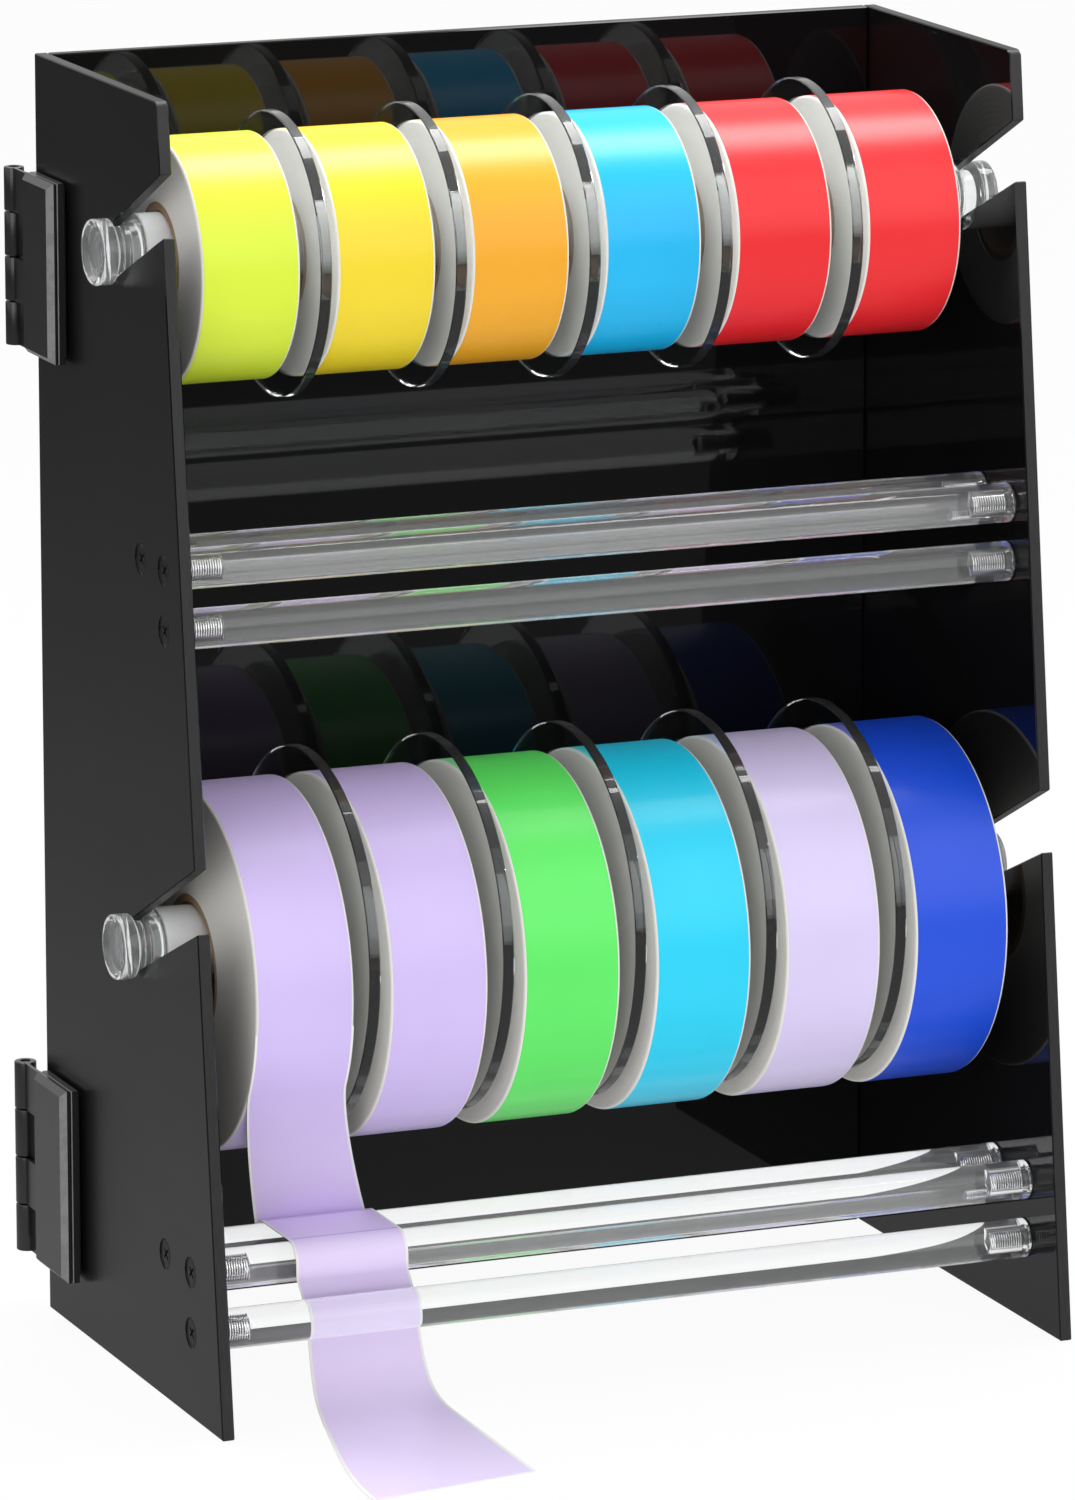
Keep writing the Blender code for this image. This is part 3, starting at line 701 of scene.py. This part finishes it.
for tier in ("upper", "lower"):
    pin_low, pin_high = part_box(f"{tier}_hinge_pin")
    free_low, free_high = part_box(f"{tier}_hinge_free_leaf")
    fixed_low, fixed_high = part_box(f"{tier}_hinge_fixed_leaf")
    axis = (pin_low + pin_high) / 2
    radius = free_high.y - axis.y
    free = leaf_piece(
        f"{tier}_hinge_free_leaf_steel",
        Vector((axis.x - radius + KNUCKLE_GAP, free_low.y, free_low.z)),
        Vector((axis.x - LEAF_OFF_MIDDLE, axis.y, free_high.z)),
        axis, radius, FREE_KNUCKLES, LEAF_CHAMFER,
    )
    seated(free, f"{tier}_free_leaf", "hinge_metal", f"{tier}_hinge_free_leaf")
    fixed = leaf_piece(
        f"{tier}_hinge_fixed_leaf_steel",
        Vector((axis.x + LEAF_OFF_MIDDLE, fixed_low.y, fixed_low.z)),
        Vector((axis.x + LEAF_OFF_MIDDLE + LEAF_THICKNESS, axis.y, fixed_high.z)),
        axis, radius, FIXED_KNUCKLES, LEAF_BREAK,
    )
    seated(fixed, "frame", "hinge_metal", f"{tier}_hinge_fixed_leaf")
    pin = upright_barrel(PIN_RADIUS, pin_low.z, pin_high.z, axis, PIN_CROWN)
    pin.name = f"{tier}_hinge_pin_steel"
    coat(pin, oxide)
    bpy.ops.object.shade_smooth_by_angle(angle=SMOOTH_ANGLE)
    seated(pin, "frame", "hinge_metal", f"{tier}_hinge_pin")
    coat(frame["nodes"][f"{tier}_hinge_pad"], foam)


# Two lift-out spindles: a milky acrylic tube with a turned clear knob plugged into each end. A
# groove in the knob sits in the panel's slot, and its outer face is dished for the thumb.
MILKY_WHITE = (0.90, 0.91, 0.92)
MILKY_DEEP = (0.84, 0.86, 0.87)
MILKY_PALE = (0.95, 0.955, 0.96)
TURNED_COLOUR = (0.95, 0.965, 0.965)
TURNED_TINT = (0.92, 0.935, 0.935)
TURNED_CLEAR = (0.97, 0.98, 0.98)

milky, shader, place = new_finish(
    "milky_acrylic", MILKY_WHITE, roughness=0.22, IOR=ACRYLIC_IOR, Subsurface_Weight=0.35,
    Subsurface_Scale=0.004,
)
drawn = noise(place, scale=50, detail=4, stretch=(0.08, 1, 1))
feed(shader, "Base Color", drawn.blended(MILKY_DEEP, MILKY_PALE))
feed(shader, "Roughness", 0.16 + 0.14 * drawn)
bump(shader, drawn, height=0.00003, strength=0.4)

turned_clear, shader, place = new_finish(
    "turned_clear_acrylic", TURNED_COLOUR, roughness=0.02, IOR=ACRYLIC_IOR, Transmission_Weight=0.90,
)
let_lamps_through(shader)
lathe = noise(place, scale=900, detail=2, stretch=(1, 0.2, 0.2))
feed(shader, "Roughness", 0.005 + 0.02 * lathe)
feed(shader, "Base Color", lathe.blended(TURNED_TINT, TURNED_CLEAR))

TUBE_SIDES = 96
KNOB_SIDES = 96
PLUG_ROOM = 0.0003
FLANGE_RADIUS = 0.0101
FLANGE_ROUND = 0.0007
FLANGE_BACK_TURN = math.pi * 0.8
DISH_DEPTH = 0.0016
DISH_RADIUS = 0.0082
DISH_POINT = 0.0004
DISH_EDGE = 0.0003
DISH_CURVE = ((0.97, 0.45), (0.82, 0.78), (0.45, 0.95), (0.12, 1.0))
NECK_RADIUS = 0.0075
NECK_START = 0.1371
NECK_END = 0.1421
NECK_FLARE = 0.0004
NECK_FLARE_RUN = 0.0003
GROOVE_SLOPE = 0.0014
GROOVE_TURN = 0.7
SHOULDER_END = 0.1345
SHOULDER_ROUND = 0.0004
SHOULDER_BREAK = 0.0002
PLUG_RADIUS = 0.0077
PLUG_END = 0.1228
PLUG_BREAK = 0.0005


def rounded(corner, radius, start, end, steps=5):
    """Points of a turn from one angle to another, for a profile's rounded corner."""
    points = []
    for step in range(steps + 1):
        angle = start + (end - start) * step / steps
        points.append((corner[0] + radius * math.cos(angle), corner[1] + radius * math.sin(angle)))
    return points


for tier in ("upper", "lower"):
    low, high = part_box(f"{tier}_spindle_tube")
    centre = Vector((0, (low.y + high.y) / 2, (low.z + high.z) / 2))
    tube_end = high.x
    tube_radius = (high.z - low.z) / 2
    bore = PLUG_RADIUS + PLUG_ROOM
    wall = [(-tube_end, bore), (-tube_end, tube_radius - END_BREAK),
            (-tube_end + END_BREAK, tube_radius), (tube_end - END_BREAK, tube_radius),
            (tube_end, tube_radius - END_BREAK), (tube_end, bore)]
    tube = drawn_out(f"{tier}_spindle_milky_tube", wall, TUBE_SIDES, centre, ring=True)
    coat(tube, milky)
    seated(tube, f"{tier}_spindle", "spindle_acrylic", f"{tier}_spindle_tube")

    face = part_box(f"{tier}_right_knob")[1].x
    round_middle = FLANGE_RADIUS - FLANGE_ROUND
    knob_profile = [
        (face - DISH_DEPTH, DISH_POINT),
        *((face - DISH_DEPTH * deep, DISH_RADIUS * wide) for deep, wide in DISH_CURVE),
        (face, DISH_RADIUS + DISH_EDGE),
        *rounded((face - FLANGE_ROUND, round_middle), FLANGE_ROUND, 0, math.pi / 2),
        *rounded((NECK_END + GROOVE_SLOPE, round_middle), FLANGE_ROUND,
                 math.pi / 2, FLANGE_BACK_TURN),
        (NECK_END, NECK_RADIUS + NECK_FLARE),
        (NECK_END - NECK_FLARE_RUN, NECK_RADIUS),
        (NECK_START + NECK_FLARE_RUN, NECK_RADIUS),
        (NECK_START, NECK_RADIUS + NECK_FLARE),
        (NECK_START - GROOVE_SLOPE * GROOVE_TURN, tube_radius - SHOULDER_ROUND),
        (NECK_START - GROOVE_SLOPE, tube_radius),
        (SHOULDER_END + SHOULDER_BREAK, tube_radius),
        (SHOULDER_END, tube_radius - SHOULDER_BREAK),
        (SHOULDER_END, PLUG_RADIUS),
        (PLUG_END + PLUG_BREAK, PLUG_RADIUS),
        (PLUG_END, PLUG_RADIUS - PLUG_BREAK),
    ]
    right_knob = drawn_out(f"{tier}_right_turned_knob", knob_profile, KNOB_SIDES, centre)
    coat(right_knob, turned_clear)
    turn_round = (Matrix.Translation(centre) @ Matrix.Rotation(math.pi, 4, "Z")
                  @ Matrix.Translation(-centre))
    left_knob = copied(right_knob, f"{tier}_left_turned_knob", turn_round)
    seated(right_knob, f"{tier}_spindle", "clear_acrylic", f"{tier}_right_knob")
    seated(left_knob, f"{tier}_spindle", "clear_acrylic", f"{tier}_left_knob")


# Ten divider discs of clear acrylic, flame polished on the rim, which keeps a soft bloom above and
# below. They hang loosely on the tube, one between each roll and the next.
DISC_SIDES = 160
DISC_BREAK = 0.00035
DISC_COUNT = 5
DISC_CLEAR = (0.965, 0.985, 0.985)
HANDLED_TINT = (0.955, 0.978, 0.978)
HANDLED_PALE = (0.975, 0.99, 0.988)
disc_bores = {"upper": 0.0153, "lower": 0.0132}

clear, shader, place = new_finish(
    "clear_acrylic", DISC_CLEAR, roughness=0.0, IOR=ACRYLIC_IOR, Transmission_Weight=1.0,
)
let_lamps_through(shader)
handled = noise(place, scale=60, detail=1)
feed(shader, "Roughness", 0.006 * handled ** 2)
feed(shader, "Base Color", noise(place, scale=14).blended(HANDLED_TINT, HANDLED_PALE))

for tier, bore in disc_bores.items():
    low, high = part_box(f"{tier}_divider_1")
    half = (high.x - low.x) / 2
    radius = (high.z - low.z) / 2
    centre = (low + high) / 2
    disc_profile = [
        (-half, bore + DISC_BREAK), (-half, radius - DISC_BREAK), (-half + DISC_BREAK, radius),
        (half - DISC_BREAK, radius), (half, radius - DISC_BREAK), (half, bore + DISC_BREAK),
        (half - DISC_BREAK, bore), (-half + DISC_BREAK, bore),
    ]
    clear_rim, shader, place = new_finish(
        f"{tier}_flame_polished_rim", DISC_CLEAR, roughness=0.02, IOR=ACRYLIC_IOR,
        Transmission_Weight=0.97, Coat_Roughness=0.3, Coat_IOR=1.6,
    )
    let_lamps_through(shader)
    rise = (place.node("SeparateXYZ", inputs={"Vector": place}, output="Z") - centre.z) / radius
    bloom = rise * rise
    feed(shader, "Coat Weight", bloom * bloom)
    first_disc = drawn_out("disc", disc_profile, DISC_SIDES, centre, ring=True)
    coat(first_disc, clear, (clear_rim, lambda spot, way: abs(way.x) < FACE_ON))
    for number in range(1, DISC_COUNT + 1):
        node = f"{tier}_divider_{number}"
        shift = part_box(node)[0].x - low.x
        disc = copied(first_disc, node + "_clear_disc", Matrix.Translation((shift, 0, 0)))
        seated(disc, f"{tier}_lift_out", "clear_acrylic", node)
    bpy.data.objects.remove(first_disc)


# Twelve rolls of coloured label tape, wound on a kraft board core. The coloured film leaves a
# thin pale margin at each rim, and the wound paper shows as fine rings on the sides.
ROLL_SIDES = 160
RIM_ROUND = 0.0008
MARGIN = 0.0008
FILM_PROUD = 0.00008
RING_COUNT = 26
RING_RELIEF = 0.00005
RING_STEP = 2.4
PAPER_WHITE = (0.88, 0.86, 0.82)
PAPER_DARK = (0.80, 0.775, 0.73)
PAPER_PALE = (0.94, 0.925, 0.89)
CORE_WALL = 0.00275
CORE_SHY = 0.0002
CORE_BREAK = 0.0003
CORE_BREAK_END = 0.0006
KRAFT_BROWN = (0.42, 0.28, 0.16)
PLY_BROWN = (0.36, 0.23, 0.13)
FIBRE_DARK = (0.33, 0.20, 0.11)
FIBRE_PALE = (0.52, 0.36, 0.22)
PALER_SHARE = 1.06
PALER_LIFT = 0.01
DEEPER_SHARE = 0.95
tapes = {
    "upper": [("lime_tape", (0.74, 0.92, 0.04)), ("yellow_tape", (0.97, 0.72, 0.02)),
              ("orange_tape", (0.97, 0.43, 0.015)), ("sky_blue_tape", (0.004, 0.50, 0.92)),
              ("red_tape", (0.91, 0.018, 0.024)), ("red_tape", (0.91, 0.018, 0.024))],
    "lower": [("lavender_tape", (0.66, 0.53, 0.92)), ("lavender_tape", (0.66, 0.53, 0.92)),
              ("green_tape", (0.12, 0.88, 0.14)), ("cyan_tape", (0.01, 0.66, 0.94)),
              ("pale_lavender_tape", (0.72, 0.63, 0.93)), ("royal_blue_tape", (0.006, 0.075, 0.73))],
}
core_bores = {"upper": 0.01525, "lower": 0.020}


def tape_finish(name, colour):
    """Satin film on paper: even colour with a faint cloud, and a fine stretch along the tape."""
    film, shader, place = new_finish(name, colour, roughness=0.30, Specular_IOR_Level=0.48)
    cloud = noise(place, scale=22)
    paler = tuple(min(1, part * PALER_SHARE + PALER_LIFT) for part in colour)
    deeper = tuple(part * DEEPER_SHARE for part in colour)
    feed(shader, "Base Color", cloud.blended(deeper, paler))
    grain = noise(place, scale=900, detail=2, stretch=(0.15, 1, 1))
    feed(shader, "Roughness", 0.27 + 0.06 * grain)
    bump(shader, grain, height=0.00001, strength=0.25)
    return film


def rings(place, centre, scale, detail):
    """Fine rings round a roll's axis, as noise from 0 to 1 on the distance from it."""
    moved = place.node("Mapping", inputs={
        "Vector": place, "Location": (0, -centre.y, -centre.z),
    })
    parts = moved.node("SeparateXYZ", inputs={"Vector": moved})
    up = Tone(parts.tree, parts.socket.node.outputs["Z"])
    across = Tone(parts.tree, parts.socket.node.outputs["Y"])
    distance = (up * up + across * across) ** 0.5
    return distance.node("TexNoise", {"noise_dimensions": "1D"}, {
        "W": distance, "Scale": scale, "Detail": detail,
    })


films = {}
for tier, colours in tapes.items():
    low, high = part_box(f"{tier}_roll_1")
    half = (high.x - low.x) / 2
    radius = (high.z - low.z) / 2
    centre = (low + high) / 2
    bore = core_bores[tier]
    core = bore + CORE_WALL

    wound, shader, place = new_finish(f"{tier}_wound_paper", PAPER_WHITE, roughness=0.8)
    layers = rings(place, centre, scale=2600, detail=3)
    feed(shader, "Base Color", layers.blended(PAPER_DARK, PAPER_PALE))
    bump(shader, layers, height=0.00008, strength=0.5)

    kraft, shader, place = new_finish(f"{tier}_kraft_board", KRAFT_BROWN, roughness=0.85)
    fibres = noise(place, scale=700, detail=4, stretch=(1, 0.3, 0.3))
    plies = rings(place, centre, scale=1400, detail=1)
    pulp = fibres.blended(FIBRE_DARK, FIBRE_PALE)
    feed(shader, "Base Color", plies.blended(PLY_BROWN, pulp))
    bump(shader, fibres, height=0.0001, strength=0.6)

    side = []
    for ring in range(RING_COUNT):
        share = ring / (RING_COUNT - 1)
        relief = RING_RELIEF * math.sin(ring * RING_STEP) if 0 < ring < RING_COUNT - 1 else 0
        side.append((-half + RING_RELIEF + relief, core + (radius - RIM_ROUND - core) * share))
    rim = rounded((-half + RIM_ROUND + RING_RELIEF, radius - RIM_ROUND), RIM_ROUND,
                  math.pi, math.pi / 2)[1:]
    film_edge = [(-half + MARGIN, radius), (-half + MARGIN + FILM_PROUD, radius + FILM_PROUD)]
    left = side + rim + film_edge
    first_roll = drawn_out(
        "roll", left + [(-along, out) for along, out in reversed(left)],
        ROLL_SIDES, centre, ring=True,
    )
    core_end = half - CORE_SHY
    core_profile = [(-core_end, bore + CORE_BREAK), (-core_end, core - CORE_SHY),
                    (core_end, core - CORE_SHY), (core_end, bore + CORE_BREAK),
                    (half - CORE_BREAK_END, bore), (-half + CORE_BREAK_END, bore)]
    first_core = drawn_out("core", core_profile, ROLL_SIDES, centre, ring=True)

    for number, (slot, colour) in enumerate(colours, start=1):
        node = f"{tier}_roll_{number}"
        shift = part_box(node)[0].x - low.x
        if slot not in films:
            films[slot] = tape_finish(slot, colour)
        roll = copied(first_roll, node + "_tape", Matrix.Translation((shift, 0, 0)))
        middle = centre.x + shift
        coat(roll, wound, (films[slot], lambda spot, way: (
            abs(spot.x - middle) < half - MARGIN + FILM_PROUD / 2
            and math.hypot(spot.y - centre.y, spot.z - centre.z) > radius - RIM_ROUND
        )))
        seated(roll, node, slot, node)
        board = copied(first_core, node + "_core", Matrix.Translation((shift, 0, 0)))
        coat(board, kraft)
        seated(board, node, "core_board")
    bpy.data.objects.remove(first_roll)
    bpy.data.objects.remove(first_core)


# The loose end of the lavender tape, pulled off the first lower roll. It runs over two rods and
# behind the third to the counter, fans out on its way and keeps a faint crease over the first two,
# drawn as a thin darker line of painted shade.
STRIP_FILM = 0.0003
STRIP_CLEARANCE = 0.00065
STRIP_STEPS = 16
STRIP_WRAP = math.radians(22)
STRIP_TUCK = 0.0004
STRIP_LEAVE_TILT = math.radians(20)
STRIP_TOUCHDOWN = 0.026
STRIP_END_REACH = 0.0950
STRIP_LIFT = 0.00035
STRIP_RODS_WIDTH = 0.0365
STRIP_END_WIDTH = 0.0560
STRIP_TOP_DRIFT = 0.0155
STRIP_LOW_DRIFT = 0.0236
STRIP_END_DRIFT = 0.0135
STRIP_END_SKEW = math.radians(8.7)
STRIP_MARGIN = 0.0007
STRIP_COLUMNS = 4
DESCENT_POWER = 1.25
CREASE_WIDTH = 0.0004
STRIP_LAVENDER = (0.64, 0.53, 0.89)
CREASE_SHADE_COLOUR = (0.56, 0.44, 0.84)
# Painted light: below this height the strip is painted paler, against the shade of the rolls above
# it; above the deep height it keeps the roll's lavender.
PAINTED_LIGHT_HEIGHT = 0.055
PAINTED_LIGHT_DULL = (0.79, 0.67, 0.96)
PAINTED_LIGHT_BRIGHT = (0.85, 0.73, 1.0)
DEEP_HEIGHT = 0.100
DEEP_DULL = (0.627, 0.504, 0.874)
DEEP_BRIGHT = (0.71, 0.572, 0.985)
LINER_WHITE = (0.90, 0.89, 0.87)
LINER_DULL = (0.87, 0.86, 0.84)
LINER_BRIGHT = (0.93, 0.92, 0.90)

roll_low, roll_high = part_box("lower_roll_1")
roll_width = roll_high.x - roll_low.x
roll_spot = Vector(((roll_low.y + roll_high.y) / 2, (roll_low.z + roll_high.z) / 2))
roll_turn = (roll_high.z - roll_low.z) / 2 + FILM_PROUD + STRIP_FILM / 2
rod_spots = {}
for post in ("rear", "front_top", "front_low"):
    low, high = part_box(f"lower_{post}_rod")
    rod_spots[post] = Vector(((low.y + high.y) / 2, (low.z + high.z) / 2))
rod_turn = rod_radius + STRIP_CLEARANCE
on_the_roll = (0, roll_width, 0)
on_the_rods = (STRIP_TOP_DRIFT, STRIP_RODS_WIDTH, 0)
strip_ends = [
    on_the_roll, on_the_roll, on_the_rods, on_the_rods,
    (STRIP_LOW_DRIFT, STRIP_RODS_WIDTH, 0), (STRIP_END_DRIFT, STRIP_END_WIDTH, STRIP_END_SKEW),
]


def arc(centre, radius, start, end):
    """Points (Y, Z) on an arc round a roll or a rod."""
    turn = [start + (end - start) * step / STRIP_STEPS for step in range(STRIP_STEPS + 1)]
    return [centre + radius * Vector((math.cos(angle), math.sin(angle))) for angle in turn]


def tangent(start, end, offset):
    """The angle at which a taut strip leaves one round for the next."""
    way = end - start
    return (math.atan2(way.y, way.x) - math.acos(offset / way.length)) % math.tau


leave = tangent(roll_spot, rod_spots["rear"], roll_turn + rod_turn)
cross = tangent(rod_spots["front_top"], rod_spots["front_low"], 2 * rod_turn)
on_roll = arc(roll_spot, roll_turn, leave - STRIP_WRAP, leave)
on_roll = [
    spot + (roll_spot - spot).normalized() * STRIP_TUCK * (1 - step / STRIP_STEPS) ** 2
    for step, spot in enumerate(on_roll)
]
over_rear = arc(rod_spots["rear"], rod_turn, leave - math.pi, math.pi / 2)
descent = [
    on_roll[-1].lerp(over_rear[0], step / STRIP_STEPS) for step in range(STRIP_STEPS + 1)
]
over_top = arc(rod_spots["front_top"], rod_turn, math.pi / 2, math.pi)
behind_top = arc(rod_spots["front_top"], rod_turn, math.pi, cross)
behind_low = arc(rod_spots["front_low"], rod_turn, cross - math.pi, -STRIP_LEAVE_TILT)
start = behind_low[-1]
landing = Vector((rod_spots["front_low"].x - STRIP_TOUCHDOWN, STRIP_LIFT))
pull = (start - landing).length / 2
first_handle = start - Vector((math.sin(STRIP_LEAVE_TILT), math.cos(STRIP_LEAVE_TILT))) * pull
second_handle = landing + Vector((pull, 0))
tail = []
for step in range(STRIP_STEPS + 1):
    share = step / STRIP_STEPS
    left = 1 - share
    bend = left ** 3 * start + 3 * left ** 2 * share * first_handle
    tail.append(bend + 3 * left * share ** 2 * second_handle + share ** 3 * landing)
strip_end = Vector((rod_spots["front_low"].x - STRIP_END_REACH, STRIP_LIFT))
tail += [landing.lerp(strip_end, step / STRIP_STEPS) for step in range(1, STRIP_STEPS + 1)]


def eased(share):
    """A share from 0 to 1 that starts and ends gently."""
    return share * share * (3 - 2 * share)


def steepening(share):
    """A share from 0 to 1 that starts gently and ends steeply."""
    return share ** DESCENT_POWER


stations = []
stretches = [on_roll, descent, over_rear + over_top, behind_top + behind_low, tail]
for points, first, last, rate in zip(
    stretches, strip_ends, strip_ends[1:], (eased, steepening, eased, eased, eased)
):
    lengths = [0]
    for before, after in zip(points, points[1:]):
        lengths.append(lengths[-1] + (after - before).length)
    for spot, length in zip(points, lengths):
        share = rate(length / lengths[-1])
        drift, width, skew = [one + (other - one) * share for one, other in zip(first, last)]
        station = Vector(((roll_low.x + roll_high.x) / 2 + drift, spot.x, spot.y))
        if not stations or (station - stations[-1][0]).length > STRIP_FILM:
            stations.append((station, width, skew))

lavender, shader, place = new_finish(
    "lavender_strip", STRIP_LAVENDER, roughness=0.38, Specular_IOR_Level=0.35
)
parts = place.node("SeparateXYZ", inputs={"Vector": place})
along = Tone(parts.tree, parts.socket.node.outputs["Y"])
up = Tone(parts.tree, parts.socket.node.outputs["Z"])
# Painted shade: a thin darker line across the strip where it crosses the tops of the rear and front
# top rods.
top_height = rod_spots["rear"].y + rod_turn
near_top = abs(up - top_height) < 4 * CREASE_WIDTH
rear_crease_shade, front_crease_shade = [
    abs(along - rod_spots[post].x) < CREASE_WIDTH for post in ("rear", "front_top")
]
painted_crease_shade = rear_crease_shade.larger(front_crease_shade) * near_top
cloud = noise(place, scale=22)
# Painted light low down, blending by height into the deeper lavender above.
painted_light_lavender = cloud.blended(PAINTED_LIGHT_DULL, PAINTED_LIGHT_BRIGHT)
deep = cloud.blended(DEEP_DULL, DEEP_BRIGHT)
height = ((up - PAINTED_LIGHT_HEIGHT) / (DEEP_HEIGHT - PAINTED_LIGHT_HEIGHT)).larger(0)
height = height.sum("MINIMUM", height, 1)
even = height.blended(painted_light_lavender, deep)
feed(shader, "Base Color", painted_crease_shade.blended(even, CREASE_SHADE_COLOUR))
grain = noise(place, scale=900, detail=2, stretch=(1, 0.15, 0.15))
bump(shader, grain, height=0.00001, strength=0.25)

liner, shader, place = new_finish("glossy_white_liner", LINER_WHITE, roughness=0.45)
liner_cloud = noise(place, scale=40, detail=2)
feed(shader, "Base Color", liner_cloud.blended(LINER_DULL, LINER_BRIGHT))

bpy.ops.object.select_all(action="DESELECT")
bpy.ops.mesh.primitive_grid_add(
    x_subdivisions=STRIP_COLUMNS, y_subdivisions=1, size=roll_width
)
strip = bpy.context.object
strip.name = "lavender_tape_end"
for material in (lavender, liner, liner):
    strip.data.materials.append(material)
first_place, second_place = stations[0][0], stations[1][0]
column = roll_width / STRIP_COLUMNS
for vert in strip.data.vertices:
    if abs(abs(vert.co.x) - column) < STRIP_FILM:
        vert.co.x *= (roll_width / 2 - STRIP_MARGIN) / column
    off_middle = vert.co.x
    vert.co = first_place if vert.co.y > 0 else second_place
    vert.co.x += off_middle
    vert.select = vert.co.y == second_place.y
for face in strip.data.polygons:
    off_middle = abs(face.center.x - first_place.x)
    face.material_index = int(off_middle > roll_width / 2 - STRIP_MARGIN)
    face.select = False
for edge in strip.data.edges:
    edge.select = all(strip.data.vertices[corner].select for corner in edge.vertices)
bpy.context.tool_settings.mesh_select_mode = (False, True, False)
bpy.ops.object.mode_set(mode="EDIT")
for before, after in zip(stations[1:], stations[2:]):
    (from_place, from_width, from_skew), (to_place, to_width, to_skew) = before, after
    bpy.ops.mesh.extrude_region_move(TRANSFORM_OT_translate={"value": to_place - from_place})
    growth = to_width / from_width
    bpy.ops.transform.resize(value=(growth, growth, growth), center_override=to_place)
    if to_skew != from_skew:
        bpy.ops.transform.rotate(
            value=from_skew - to_skew, orient_axis="Z", center_override=to_place
        )
bpy.ops.object.mode_set(mode="OBJECT")
outward = strip.data.polygons[0].normal.dot(first_place - Vector((first_place.x, *roll_spot)))
if outward < 0:
    strip.data.flip_normals()
film = strip.modifiers.new("film", "SOLIDIFY")
film.thickness = STRIP_FILM
film.offset = 0
film.material_offset = 1
film.material_offset_rim = 1
bpy.ops.object.modifier_apply(modifier=film.name)
bpy.ops.object.shade_smooth_by_angle(angle=SMOOTH_ANGLE)
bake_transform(strip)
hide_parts("loose_strip")
